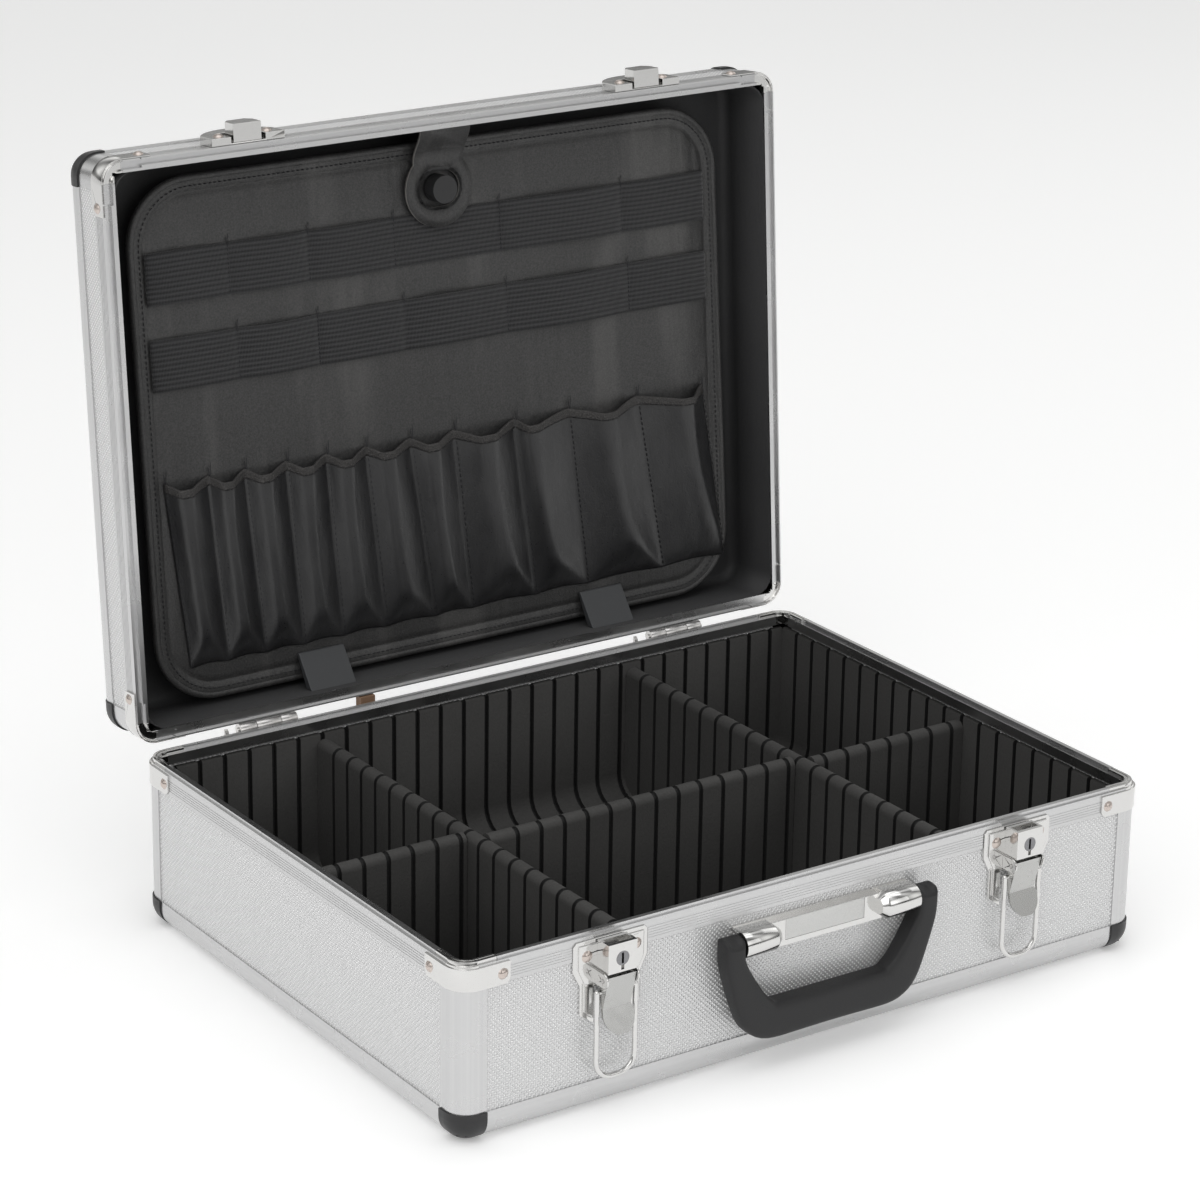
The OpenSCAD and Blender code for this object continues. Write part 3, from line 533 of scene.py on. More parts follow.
for turn, reach, far in ((0, inside_x, inside_y), (180, inside_x, inside_y),
                         (90, inside_y, inside_x), (-90, inside_y, inside_x)):
    part = ribbed_foam(wall_outline, -reach, reach, 16.4 * MM, 0, 3 * MM, 2.2 * MM)
    placed = Matrix.Rotation(math.radians(turn), 4, "Z") @ Matrix.Translation((0, -far - wall_t, 0))
    bmesh.ops.transform(part, matrix=placed, verts=part.verts)
    spare = bpy.data.meshes.new("wall_part")
    part.to_mesh(spare)
    part.free()
    walls.from_mesh(spare)
    bpy.data.meshes.remove(spare)
wall_foam = finish_piece("ribbed_wall_lining", walls, foam, "base", smooth=35, second=foam_groove_painted_shade)
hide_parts("base_wall_lining")

floor_bm = bmesh.new()
bmesh.ops.create_cube(floor_bm, size=1)
bmesh.ops.scale(floor_bm, vec=(2 * inside_x, 2 * inside_y, 3 * MM), verts=floor_bm.verts)
bmesh.ops.translate(floor_bm, vec=(0, 0, floor_top - 1.5 * MM), verts=floor_bm.verts)
bmesh.ops.bevel(floor_bm, geom=list(floor_bm.edges), offset=0.5 * MM, segments=2, profile=0.5,
                affect="EDGES", material=-1)
floor_foam = finish_piece("floor_lining", floor_bm, foam, "base")
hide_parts("base_floor_lining")

# ---- Dividers ----
# Loose foam boards ribbed on both faces, with a rounded top edge. The two long ones stand in the
# wall's grooves and the three short ones stand in theirs.


def divider_piece(node, body, along_y, phase):
    """A ribbed board in the place of a plain divider node."""
    low, high = (Vector(corner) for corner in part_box(node))
    middle = (low + high) / 2
    half = (high.x - low.x if along_y else high.y - low.y) / 2
    outline = [(half, low.z, 0, 0), (half, low.z + 2 * MM, -1, 0)]
    for k in range(0, 11):
        a = math.radians(18 * k)
        outline.append((half * math.cos(a), high.z - half + half * math.sin(a),
                        -math.cos(a), -0.75 * math.sin(a)))
    outline += [(-half, low.z + 2 * MM, 1, 0), (-half, low.z, 0, 0)]
    ends = (low.y, high.y) if along_y else (low.x, high.x)
    bm = ribbed_foam(outline, ends[0], ends[1], 15.7 * MM, phase, 2.8 * MM, 1.5 * MM)
    if along_y:
        place = Matrix.Translation((middle.x, 0, 0)) @ Matrix.Rotation(math.pi / 2, 4, "Z")
    else:
        place = Matrix.Translation((0, middle.y, 0))
    piece = finish_piece(node.replace("divider_", "foam_divider_"), bm, foam, body, place, 35,
                         second=foam_groove_painted_shade)
    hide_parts(node)


divider_piece("divider_long_left", "long_divider_left", True, 2 * MM)
divider_piece("divider_long_right", "long_divider_right", True, 5 * MM)
divider_piece("divider_cross_left", "cross_divider_left", False, -170 * MM)
divider_piece("divider_cross_middle", "cross_divider_middle", False, 3 * MM)
divider_piece("divider_cross_right", "cross_divider_right", False, 167 * MM)

# ---- Lid lining ----
# One smooth foam tray glued inside the lid, with rounded corners and a crease where its walls meet
# its bottom.
hinge_pos = Vector(joints["lid_hinge"]["pos_m"])
on_lid = (Matrix.Translation(hinge_pos) @ Matrix.Rotation(-open_angle, 4, "X")
          @ Matrix.Translation(-hinge_pos))
lid_plane = 0.102
lid_foam, lid_tree, lid_shader, lid_place = start_material("smooth_foam", (0.028, 0.028, 0.029), 0.0, 0.6)
lid_shader.inputs["Specular IOR Level"].default_value = 0.35
lid_grain = add_grain(lid_tree, lid_place, 900, 0.48, 0.66)
lid_cloud = add_grain(lid_tree, lid_place, 9, 0.15, 0.85)
lid_tree.links.new(lid_grain.outputs["Value"], lid_shader.inputs["Roughness"])
tint(lid_tree, lid_shader, lid_cloud.outputs["Value"], (0.022, 0.022, 0.023), (0.036, 0.036, 0.037))
add_bump(lid_tree, lid_shader, lid_grain.outputs["Height"], 0.00012)
tray_depth = 41 * MM
tray_mouth = 1.2 * MM
tray = bmesh.new()
bmesh.ops.create_cube(tray, size=1)
glue_gap = 0.0004
bmesh.ops.scale(tray, vec=(2 * inside_x - glue_gap, 2 * inside_y - glue_gap, tray_depth - tray_mouth),
                verts=tray.verts)
bmesh.ops.translate(tray, vec=(0, 0, lid_plane + (tray_depth + tray_mouth) / 2), verts=tray.verts)
mouth_faces = [face for face in tray.faces if face.normal.z < -0.5]
bmesh.ops.delete(tray, geom=mouth_faces, context="FACES")
upright = [edge for edge in tray.edges if abs(edge.verts[0].co.z - edge.verts[1].co.z) > 0.01]
bmesh.ops.bevel(tray, geom=upright, offset=13 * MM, segments=6, profile=0.5, affect="EDGES", material=-1)
deep = [edge for edge in tray.edges if all(v.co.z > lid_plane + tray_depth - 0.001 for v in edge.verts)]
bmesh.ops.bevel(tray, geom=deep, offset=6 * MM, segments=4, profile=0.5, affect="EDGES", material=-1)
tray_lining = finish_piece("lid_tray_lining", tray, lid_foam, "lid", on_lid, 50)
thick = tray_lining.modifiers.new("thickness", "SOLIDIFY")
thick.thickness = 0.8 * MM
thick.offset = 1
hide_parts("lid_wall_lining", "lid_top_lining")

# ---- Tool board ----
# A stiff board covered in black leatherette, with a rolled and stitched border and a face that is
# slightly padded.
board_joint = joints["board_tilt"]
board_pivot = Vector(board_joint["pos_m"])
lean = math.radians(1)
on_board = Matrix.Translation(board_pivot) @ Matrix.Rotation(-open_angle - lean, 4, "X")
board_half = 204.5 * MM
board_front = -292.5 * MM
board_back = 17 * MM
board_t = 6 * MM
board_r = 40 * MM

leather, leather_tree, leather_shader, leather_place = start_material(
    "black_leatherette", (0.03, 0.03, 0.031), 0.0, 0.45)
leather_shader.inputs["Specular IOR Level"].default_value = 0.5
leather_fine = add_grain(leather_tree, leather_place, 1100, 0.36, 0.52)
leather_fold = add_grain(leather_tree, leather_place, 900, 0.0, 1.0)
leather_cells = leather_tree.nodes.new("ShaderNodeTexVoronoi")
leather_cells.feature = "DISTANCE_TO_EDGE"
leather_cells.inputs["Scale"].default_value = 900
leather_tree.links.new(leather_place.outputs["Object"], leather_cells.inputs["Vector"])
leather_tree.links.new(leather_fine.outputs["Value"], leather_shader.inputs["Roughness"])
leather_crease = add_grain(leather_tree, leather_place, 30, 0.0, 1.0, (1.0, 0.14, 0.14))
# The streak mask lightens soft vertical bands along the creases: painted highlights.
leather_painted_highlight = leather_tree.nodes.new("ShaderNodeMapRange")
leather_painted_highlight.interpolation_type = "SMOOTHSTEP"
leather_painted_highlight.inputs["From Min"].default_value = 0.45
leather_painted_highlight.inputs["From Max"].default_value = 0.95
leather_painted_highlight.inputs["To Max"].default_value = 0.42
leather_tree.links.new(leather_crease.outputs["Value"], leather_painted_highlight.inputs["Value"])
# The leatherette's colour mixes its fine grain speckle with the painted crease highlights.
leather_grain_and_highlight = math_node(
    leather_tree, "ADD", math_node(leather_tree, "MULTIPLY", leather_fold.outputs["Value"], 0.45),
    leather_painted_highlight.outputs[0])
tint(leather_tree, leather_shader, leather_grain_and_highlight, (0.021, 0.021, 0.0215), (0.085, 0.083, 0.081))
leather_sum = math_node(
    leather_tree, "ADD",
    math_node(leather_tree, "MULTIPLY", leather_cells.outputs["Distance"], 0.5),
    math_node(leather_tree, "MULTIPLY", leather_crease.outputs["Value"], 4.5))
add_bump(leather_tree, leather_shader, leather_sum, 0.0005)


def round_rectangle(bm, half_x, low_y, high_y, radius, z=0.0, steps=10):
    """A face in the shape of a rectangle with round corners."""
    ring = []
    corners = ((half_x, high_y, 0), (-half_x, high_y, 90), (-half_x, low_y, 180), (half_x, low_y, 270))
    for x, y, turn in corners:
        cx = x - math.copysign(radius, x)
        cy = high_y - radius if y == high_y else low_y + radius
        for k in range(steps + 1):
            a = math.radians(turn + 90 * k / steps)
            ring.append(bm.verts.new((cx + radius * math.cos(a), cy + radius * math.sin(a), z)))
    return bm.faces.new(ring)


def inset_step(bm, face, width, rise):
    """Insets a face and moves it along Z, and gives the inner face."""
    bmesh.ops.inset_region(bm, faces=[face], thickness=width, depth=0, use_even_offset=True)
    bmesh.ops.translate(bm, verts=face.verts, vec=(0, 0, rise))
    return face


board = bmesh.new()
face = round_rectangle(board, board_half - 1.5 * MM, board_front + 1.5 * MM, board_back - 1.5 * MM,
                       board_r - 1.5 * MM, 0.6 * MM)
sides = bmesh.ops.extrude_edge_only(board, edges=list(face.edges))["geom"]
rim_verts = [item for item in sides if isinstance(item, bmesh.types.BMVert)]
rim_edges = [e for e in sides if isinstance(e, bmesh.types.BMEdge) and all(v in rim_verts for v in e.verts)]
bmesh.ops.translate(board, verts=rim_verts, vec=(0, 0, board_t - 0.6 * MM))
bmesh.ops.holes_fill(board, edges=rim_edges)
face.normal_flip()
for width, rise in ((1.2, -0.5), (1.6, -0.4), (4.0, 0.2), (1.2, 0.9), (0.9, 0.3), (1.2, -0.9), (3.0, -0.35),
                    (9.0, -0.25), (13.0, -0.1)):
    inset_step(board, face, width * MM, rise * MM)
board_piece = finish_piece("padded_tool_board", board, leather, "board", on_board, 60)
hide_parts("tool_board")


def draw_along(section, frames, closed=False):
    """Draws a closed section, of points in a plane, along a row of matrices that place it."""
    bm = bmesh.new()
    ring = [bm.verts.new(frames[0] @ Vector((x, y, 0))) for x, y in section]
    edges = [bm.edges.new((ring[k - 1], ring[k])) for k in range(len(ring))]
    first = edges
    if not closed:
        bmesh.ops.holes_fill(bm, edges=edges)
    for near, far in zip(frames, frames[1:]):
        edges, verts, faces = extrude_ring(bm, edges)
        bmesh.ops.transform(bm, matrix=far @ near.inverted(), verts=list(verts))
    if closed:
        bmesh.ops.bridge_loops(bm, edges=first + edges)
    else:
        bmesh.ops.holes_fill(bm, edges=edges)
    return bm


def path_frames(points, normal, sizes=None, closed=False):
    """Matrices that stand a section square across a flat path, X in the path's plane."""
    points = [Vector(p) for p in points]
    normal = Vector(normal).normalized()
    frames = []
    for k, point in enumerate(points):
        ahead = points[(k + 1) % len(points)] if closed or k + 1 < len(points) else point
        behind = points[k - 1] if closed or k else point
        along = (ahead - behind).normalized()
        side = normal.cross(along).normalized()
        width, height = sizes[k] if sizes else (1, 1)
        frame = Matrix((side * width, normal * height, along)).transposed().to_4x4()
        frames.append(Matrix.Translation(point) @ frame)
    return frames


def round_section(radius, sides=12, power=1.0):
    """A circle, or a square with round corners where "power" is below 1."""
    points = []
    for k in range(sides):
        c, d = math.cos(2 * math.pi * k / sides), math.sin(2 * math.pi * k / sides)
        points.append((radius * math.copysign(abs(c) ** power, c),
                       radius * math.copysign(abs(d) ** power, d)))
    return points


def border_path(grow, z):
    """Points round the board's edge, moved outwards by "grow"."""
    points = []
    for x, y, turn in ((1, 1, 0), (-1, 1, 90), (-1, -1, 180), (1, -1, 270)):
        cx = x * (board_half - board_r)
        cy = board_back - board_r if y > 0 else board_front + board_r
        for k in range(13):
            a = math.radians(turn + 90 * k / 12)
            points.append((cx + (board_r + grow) * math.cos(a), cy + (board_r + grow) * math.sin(a), z))
    return points


piping_bm = draw_along(round_section(2.3 * MM, 14),
                       path_frames(border_path(-2.3 * MM, 1.6 * MM), (0, 0, 1), closed=True), True)
piping = finish_piece("board_piping", piping_bm, leather, "board", on_board, 60)
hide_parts("board_binding")

# Stitching
# Polyester thread in short running stitches, through the leatherette and the elastic.
thread, thread_tree, thread_shader, thread_place = start_material(
    "black_thread", (0.006, 0.006, 0.008), 0.0, 0.5)
thread_grain = add_grain(thread_tree, thread_place, 3000, 0.5, 0.7)
thread_tree.links.new(thread_grain.outputs["Value"], thread_shader.inputs["Roughness"])
tint(thread_tree, thread_shader, thread_grain.outputs["Height"], (0.003, 0.003, 0.004), (0.014, 0.014, 0.017))


def resample(points, step):
    """Points at equal distances along a line through the given points."""
    points = [Vector(p) for p in points]
    out = [points[0].copy()]
    left = step
    for near, far in zip(points, points[1:]):
        length = (far - near).length
        while left <= length:
            out.append(near.lerp(far, left / length))
            left += step
        left -= length
    return out


def stitches(bm, points, pitch=3.2 * MM, length=2.1 * MM, half=0.35 * MM, up=(0, 0, -1)):
    """Adds a running stitch along points: short rods with tapered ends."""
    for near, far in zip(resample(points, pitch), resample(points, pitch)[1:]):
        along = (far - near).normalized()
        side = along.cross(Vector(up)).normalized()
        top = Vector(up)
        rings = []
        for t, w in ((0, 0.35), (0.25, 1), (0.75, 1), (1, 0.35)):
            centre = near + along * length * t
            rings.append([bm.verts.new(centre + w * half * (side * c + top * s))
                          for c, s in ((1, 0), (0, 1), (-1, 0), (0, -0.6))])
        for a, b in zip(rings, rings[1:]):
            for j in range(4):
                bm.faces.new((a[j - 1], a[j], b[j], b[j - 1]))
        bm.faces.new(list(reversed(rings[0])))
        bm.faces.new(rings[-1])


border_thread = bmesh.new()
closed_path = border_path(-6.6 * MM, -0.75 * MM)
stitches(border_thread, closed_path + closed_path[:1])
finish_piece("board_border_stitches", border_thread, thread, "board", on_board, 30)

# ---- Elastic bands ----
# Two ribbed elastic webs sewn flat across the board at a few places, so that they stand off a
# little in loops between the rows of stitches.
elastic, elastic_tree, elastic_shader, elastic_place = start_material(
    "black_elastic", (0.02, 0.02, 0.02), 0.0, 0.75)
elastic_shader.inputs["Sheen Weight"].default_value = 0.25
elastic_shader.inputs["Sheen Roughness"].default_value = 0.4
elastic_knit = elastic_tree.nodes.new("ShaderNodeUVMap")
elastic_knit.uv_map = "weave"
elastic_split = elastic_tree.nodes.new("ShaderNodeSeparateXYZ")
elastic_tree.links.new(elastic_knit.outputs[0], elastic_split.inputs[0])
rib_pitch = 0.0028
knit_pitch = 0.0009
rib_turn = math_node(elastic_tree, "MULTIPLY", elastic_split.outputs["Y"], 2 * math.pi / rib_pitch)
rib_wave = math_node(elastic_tree, "SINE", rib_turn)
knit_turn = math_node(elastic_tree, "MULTIPLY", elastic_split.outputs["X"], 2 * math.pi / knit_pitch)
knit_wave = math_node(elastic_tree, "SINE", knit_turn)
rib_height = math_node(elastic_tree, "ADD", rib_wave, math_node(elastic_tree, "MULTIPLY", knit_wave, 0.25))
# The rib crests are painted lighter and the valleys darker, following the rib relief: painted shade across
# the ribs.
rib_painted_shade = math_node(elastic_tree, "MULTIPLY_ADD", rib_wave, 0.5)
rib_painted_shade.node.inputs[2].default_value = 0.5
tint(elastic_tree, elastic_shader, rib_painted_shade, (0.010, 0.010, 0.011), (0.036, 0.036, 0.038))
elastic_grain = add_grain(elastic_tree, elastic_place, 1500, 0.65, 0.85)
elastic_tree.links.new(elastic_grain.outputs["Value"], elastic_shader.inputs["Roughness"])
add_bump(elastic_tree, elastic_shader, rib_height, 0.00035)

band_w = 30 * MM
band_left, band_right = -195 * MM, 193 * MM


def spread_uv(bm, name):
    """Writes each corner's flat X and Y, in metres, to a UV layer."""
    layer = bm.loops.layers.uv.new(name)
    for face in bm.faces:
        for loop in face.loops:
            loop[layer].uv = (loop.vert.co.x, loop.vert.co.y)


def ease_between(stations, x):
    """How far x lies from the station before it to the next, and that gap."""
    for near, far in zip(stations, stations[1:]):
        if near <= x <= far:
            return (x - near) / (far - near), far - near
    return 0.0, 1.0


for row, top, sewn in ((1, -250.5 * MM, (-141.5, -88.5, -30.5, 43.5, 131.5)),
                       (2, -200.5 * MM, (-138.5, -85, -26, 46, 134.5))):
    stations = [band_left] + [x * MM for x in sewn] + [band_right]
    band = bmesh.new()
    bmesh.ops.create_grid(band, x_segments=194, y_segments=20, size=0.5)
    bmesh.ops.scale(band, vec=(band_right - band_left, band_w, 1), verts=band.verts)
    bmesh.ops.translate(band, vec=((band_left + band_right) / 2, top + band_w / 2, 0), verts=band.verts)
    spread_uv(band, "weave")
    for vert in band.verts:
        t, gap = ease_between(stations, vert.co.x)
        across = (vert.co.y - top) / band_w * 2 - 1
        loop = min(1.0, math.sin(math.pi * t) ** 0.55) if 0 < t < 1 else 0.0
        if row == 1 and abs(gap - 74 * MM) < 1 * MM:
            loop *= 0.15
        sag = 1 + 0.25 * math.sin(vert.co.x * 61 + row) + 0.2 * across * math.sin(vert.co.x * 43 + 2 * row)
        edge = 0.35 * max(0.0, abs(across) - 0.8) * 5
        vert.co.z = -(1.0 + (1.6 + gap * 14) * loop * sag - edge) * MM
        edge_pull = 1 if across < 0 else 0.4
        vert.co.y -= 0.5 * MM * math.sin(math.pi * t) * edge_pull * math.sin(vert.co.x * 30 + row)
    web = finish_piece(f"elastic_band_{row}", band, elastic, "board", on_board, 60)
    web_thick = web.modifiers.new("thickness", "SOLIDIFY")
    web_thick.thickness = 0.9 * MM
    web_thick.offset = 0
    if row == 1:
        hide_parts("elastic_bands")
    seams_bm = bmesh.new()
    for x in stations[1:-1]:
        stitches(seams_bm, [(x, top + 0.5 * MM, -1.7 * MM), (x, top + band_w - 0.5 * MM, -1.7 * MM)],
                 2.6 * MM, 2.0 * MM,
                 0.4 * MM)
        stitches(seams_bm, [(x + 1 * MM, top - 5 * MM, -1.0 * MM), (x, top + 2 * MM, -1.9 * MM)],
                 3.2 * MM, 3.2 * MM,
                 0.25 * MM)
        stitches(seams_bm, [(x - 0.6 * MM, top - 3.5 * MM, -1.0 * MM), (x, top + 2 * MM, -1.9 * MM)],
                 2.5 * MM,
                 2.6 * MM, 0.25 * MM)
    finish_piece(f"elastic_stitches_{row}", seams_bm, thread, "board", on_board, 30)

# ---- Pockets ----
# One sheet of leatherette gathered into eleven tool pockets: each is sewn down at its left side,
# swells out to a folded ridge at its right, and is tucked under at the foot.
seam_tops = [x * MM for x in (-193, -164, -140, -112, -85, -58, -27, 3.5, 47, 86, 137, 187)]
seam_feet = [x * MM for x in (-183, -158, -133, -107, -80, -50, -15, 11, 57, 95, 152, 200)]
mouth_y, foot_y = -117 * MM, -4.5 * MM
pocket_cells = 16
pocket_rows = 48

pocket_leather, pocket_tree, pocket_shader, pocket_place = start_material(
    "pocket_leatherette", (0.02, 0.02, 0.021), 0.0, 0.34)
pocket_shader.inputs["Specular IOR Level"].default_value = 0.55
pocket_fine = add_grain(pocket_tree, pocket_place, 900, 0.27, 0.42)
pocket_fold = add_grain(pocket_tree, pocket_place, 80, 0.0, 1.0, (1.0, 0.35, 0.35))
pocket_tree.links.new(pocket_fine.outputs["Value"], pocket_shader.inputs["Roughness"])
tint(pocket_tree, pocket_shader, pocket_fold.outputs["Value"], (0.012, 0.012, 0.013), (0.026, 0.026, 0.027))
pocket_sum = math_node(
    pocket_tree, "ADD", math_node(pocket_tree, "MULTIPLY", pocket_fine.outputs["Height"], 0.2),
    math_node(pocket_tree, "MULTIPLY", pocket_fold.outputs["Height"], 1.3))
add_bump(pocket_tree, pocket_shader, pocket_sum, 0.0005)


def soft_least(values, sharp=9.0):
    """The least of some values, with the corners between them rounded."""
    return -math.log(sum(math.exp(-sharp * value) for value in values)) / sharp


folds = ((0.24, 0.50),) * 7 + ((0.30, 0.58), (0.14, 0.34), (0.40, 0.58), (0.58, 0.76))


def pocket_surface(k, t, v):
    """A point of pocket k, t across it from its seam and v down from its mouth."""
    top = seam_tops[k] + (seam_tops[k + 1] - seam_tops[k]) * t
    foot = seam_feet[k] + (seam_feet[k + 1] - seam_feet[k]) * t
    gap = seam_tops[k + 1] - seam_tops[k]
    drift = (0.04 if k < 7 else 0.22) * v * v
    near, far = folds[k][0] + drift, folds[k][1] + drift - 0.10 * math.sin(math.pi * v)
    left_flank = (t / near) ** 1.1
    right_flank = ((1 - t) / (1 - far)) ** 1.2
    foot_flank = ((1 - v) / (0.10 + 1.8 * gap)) ** 0.8
    rise = soft_least((left_flank, right_flank, foot_flank, 1.0))
    rise += 0.05 * math.sin(9 * v + 2.1 * k) * math.sin(math.pi * t) * (1 - v)
    ridges = math.exp(-((t - near) / 0.06) ** 2) + math.exp(-((t - far) / 0.06) ** 2)
    rise += 0.06 * ridges * min(1, 5 * (1 - v))
    height = 0.9 + (6.6 + 50 * gap) * max(0.0, rise)
    slack = (2.5 + 50 * gap) * max(0.0, rise) * (1 - v) ** 4 - 1.6 * math.sin(math.pi * t) * v ** 6
    y = mouth_y + (foot_y - mouth_y) * v + slack * MM
    return Vector((top + (foot - top) * v, y, -min(height, 11.5) * MM))


pocket_bm = bmesh.new()
bmesh.ops.create_grid(pocket_bm, x_segments=11 * pocket_cells, y_segments=pocket_rows, size=0.5)
for vert in pocket_bm.verts:
    across = (vert.co.x + 0.5) * 11
    k = min(10, int(across + 1e-6))
    vert.co = pocket_surface(k, min(1.0, max(0.0, across - k)), vert.co.y + 0.5)
pockets = finish_piece("tool_pockets", pocket_bm, pocket_leather, "board", on_board, 80, 1)
pocket_thick = pockets.modifiers.new("thickness", "SOLIDIFY")
pocket_thick.thickness = 0.8 * MM
pocket_thick.offset = 0
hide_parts("pockets")

tape, tape_tree, tape_shader, tape_place = start_material("hem_tape", (0.02, 0.019, 0.019), 0.0, 0.7)
tape_knit = tape_tree.nodes.new("ShaderNodeTexVoronoi")
tape_knit.inputs["Scale"].default_value = 1300
tape_tree.links.new(tape_place.outputs["Object"], tape_knit.inputs["Vector"])
tape_grain = add_grain(tape_tree, tape_place, 600, 0.55, 0.8)
tape_tree.links.new(tape_grain.outputs["Value"], tape_shader.inputs["Roughness"])
tint(tape_tree, tape_shader, tape_knit.outputs["Distance"], (0.012, 0.012, 0.012), (0.062, 0.058, 0.056))
add_bump(tape_tree, tape_shader, tape_knit.outputs["Distance"], 0.0003)
hem_bm = bmesh.new()
bmesh.ops.create_grid(hem_bm, x_segments=11 * pocket_cells, y_segments=4, size=0.5)
for vert in hem_bm.verts:
    across = (vert.co.x + 0.5) * 11
    k = min(10, int(across + 1e-6))
    down = (vert.co.y + 0.5) * 0.052
    vert.co = pocket_surface(k, min(1.0, max(0.0, across - k)), down) + Vector((0, -0.3 * MM, -0.75 * MM))
hem = finish_piece("pocket_hem_tape", hem_bm, tape, "board", on_board, 80)
hem_thick = hem.modifiers.new("thickness", "SOLIDIFY")
hem_thick.thickness = 0.7 * MM
hem_thick.offset = 0

pocket_thread = bmesh.new()
for k in range(12):
    column = min(k, 10)
    seam_offset = Vector((0.5 * MM, 0, -0.9 * MM))
    seam = [pocket_surface(column, 0.02 if k < 11 else 1.0, j / 20) + seam_offset for j in range(21)]
    stitches(pocket_thread, seam, 3.4 * MM, 2.2 * MM, 0.38 * MM)
    tip = seam[0]
    for lean_x, reach in ((1.2, 8.5), (-0.8, 6.0)):
        tail_end = tip + Vector((lean_x * MM, -reach * MM, 0.3 * MM))
        stitches(pocket_thread, [tail_end, tip + Vector((0, 2 * MM, 0))],
                 (reach + 1.8) * MM, (reach + 2) * MM, 0.28 * MM)
for k in range(11):
    line = [pocket_surface(k, 0.04 + 0.9 * j / 12, 0.044) + Vector((0, 0, -1.2 * MM)) for j in range(13)]
    stitches(pocket_thread, line, 3.2 * MM, 2.2 * MM, 0.3 * MM)
finish_piece("pocket_stitches", pocket_thread, thread, "board", on_board, 30)

# ---- Strap ----
# A black leather tab on the lid's front wall, punched to go over the turning knob. Its cut edge is
# lighter than its face, and a moulded plate frames the slot.
cut_leather, cut_tree, cut_shader, cut_place = start_material(
    "cut_leather_edge", (0.16, 0.15, 0.145), 0.0, 0.6)
cut_grain = add_grain(cut_tree, cut_place, 900, 0.5, 0.75)
cut_tree.links.new(cut_grain.outputs["Value"], cut_shader.inputs["Roughness"])
tint(cut_tree, cut_shader, cut_grain.outputs["Height"], (0.10, 0.095, 0.09), (0.24, 0.23, 0.22))

disc_y = -123 * MM
disc_r = 23 * MM
slot_r = 10.8 * MM
slot_half = 3 * MM
neck_y = -148 * MM
root_y = -162 * MM
strap_face = lid_plane + 21.9 * MM
strap_bm = bmesh.new()
outline = []
neck = 17 * MM
neck_turn = math.degrees(math.asin(neck / disc_r))
for k in range(41):
    a = math.radians(-90 + neck_turn + (360 - 2 * neck_turn) * k / 40)
    outline.append((disc_r * math.cos(a), disc_y + disc_r * math.sin(a)))
outline += [(-neck, neck_y), (-neck, root_y), (neck, root_y), (neck, neck_y)]
slot_line = []
for side in (1, -1):
    for k in range(13):
        a = math.radians(-90 + 180 * k / 12 + (0 if side > 0 else 180))
        slot_line.append((side * slot_half + slot_r * math.cos(a), disc_y + slot_r * math.sin(a)))
for line in (outline, slot_line):
    ring = [strap_bm.verts.new((x, y, 0)) for x, y in line]
    for k in range(len(ring)):
        strap_bm.edges.new((ring[k - 1], ring[k]))
bmesh.ops.triangle_fill(strap_bm, use_beauty=True, use_dissolve=False, edges=list(strap_bm.edges))
for cut in range(-160, -138, 2):
    bmesh.ops.bisect_plane(strap_bm, geom=list(strap_bm.verts) + list(strap_bm.edges) + list(strap_bm.faces),
                           plane_co=(0, cut * MM, 0), plane_no=(0, 1, 0))
for vert in strap_bm.verts:
    back = min(1.0, max(0.0, (-140 * MM - vert.co.y) / (22 * MM)))
    bow = 9.6 * MM * (0.5 - 0.5 * math.cos(math.pi * min(1.0, back * 1.05)))
    vert.co.z = strap_face - bow
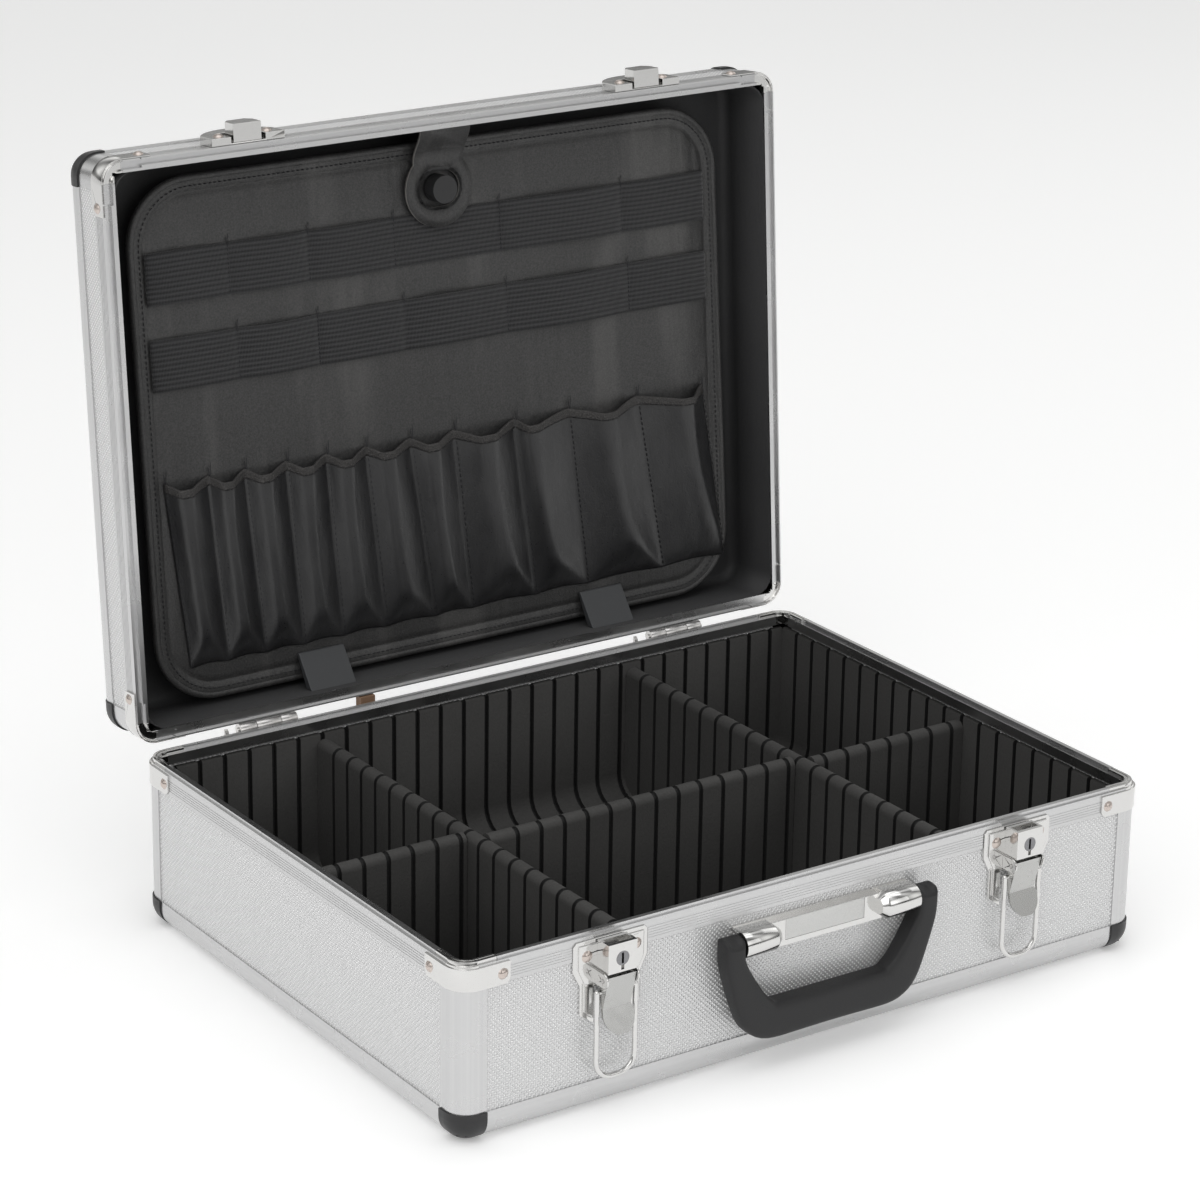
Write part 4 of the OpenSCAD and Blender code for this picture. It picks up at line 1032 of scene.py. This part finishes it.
strap = finish_piece("leather_strap", strap_bm, leather, "strap", on_lid, 50,
                     second=cut_leather)
strap_thick = strap.modifiers.new("thickness", "SOLIDIFY")
strap_thick.thickness = 2 * MM
strap_thick.offset = 0
strap_thick.material_offset_rim = 1
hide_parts("strap")

dress("strap_plate turn_base", black_plastic, 0.0003)
dress("turn_knob", black_plastic, 0.0012, 3)

# ---- Carrying handle ----
# A moulded grip with a fine matt grain. Its two arms close round the ends of the bright bracket's
# tubes, and it hangs against the front panel.
grip_rubber = moulded("grip_rubber", (0.008, 0.008, 0.0085), (0.017, 0.017, 0.018), 0.48, 0.62, 0.00012)
handle_pos = Vector(joints["handle_swing"]["pos_m"])
front_y = -169 * MM
arm = [(64.9, 84.0, 6.1), (64.9, 81, 6.1), (64.9, 76.5, 6.1), (64.9, 71, 6.1), (64.4, 67, 6.3),
       (62.2, 61, 7.0),
       (58.4, 52.5, 8.2), (55.0, 45.5, 9.2), (52.2, 40.2, 10.2), (49.6, 36.2, 11.2), (46.4, 32.8, 11.6),
       (42.4, 30.2, 11.2), (37.6, 29.2, 10.6), (31, 29.2, 10.5), (20, 29.3, 10.4), (8, 29.4, 10.3)]
grip_line = arm + [(-x, z, w) for x, z, w in reversed(arm)]
grip_frames = path_frames([(x * MM, front_y - 9 * MM, z * MM) for x, z, w in grip_line], (0, -1, 0),
                          [(w, 6.5) for x, z, w in grip_line])
grip_bm = draw_along(round_section(1 * MM, 28, 0.42), grip_frames)
for vert in grip_bm.verts:
    over = vert.co.z - handle_pos.z
    if over > 0:
        off = min(0.98, abs(vert.co.y - handle_pos.y) / (7.6 * MM))
        vert.co.z = handle_pos.z + over * math.sqrt(1 - off * off)
grip = finish_piece("moulded_grip", grip_bm, grip_rubber, "handle", smooth=50, subdivide=1)
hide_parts("handle_grip")

# ---- Levers and bails ----
# Each latch has a bent lever with a satin thumb tab, and a polished wire loop that hooks over the
# lid's keeper.
dress("lever_left lever_right", bright_metal("satin_plate", (0.50, 0.50, 0.49), 0.20, 0.30), 0.0004)
dress("bail_left bail_right", chrome)
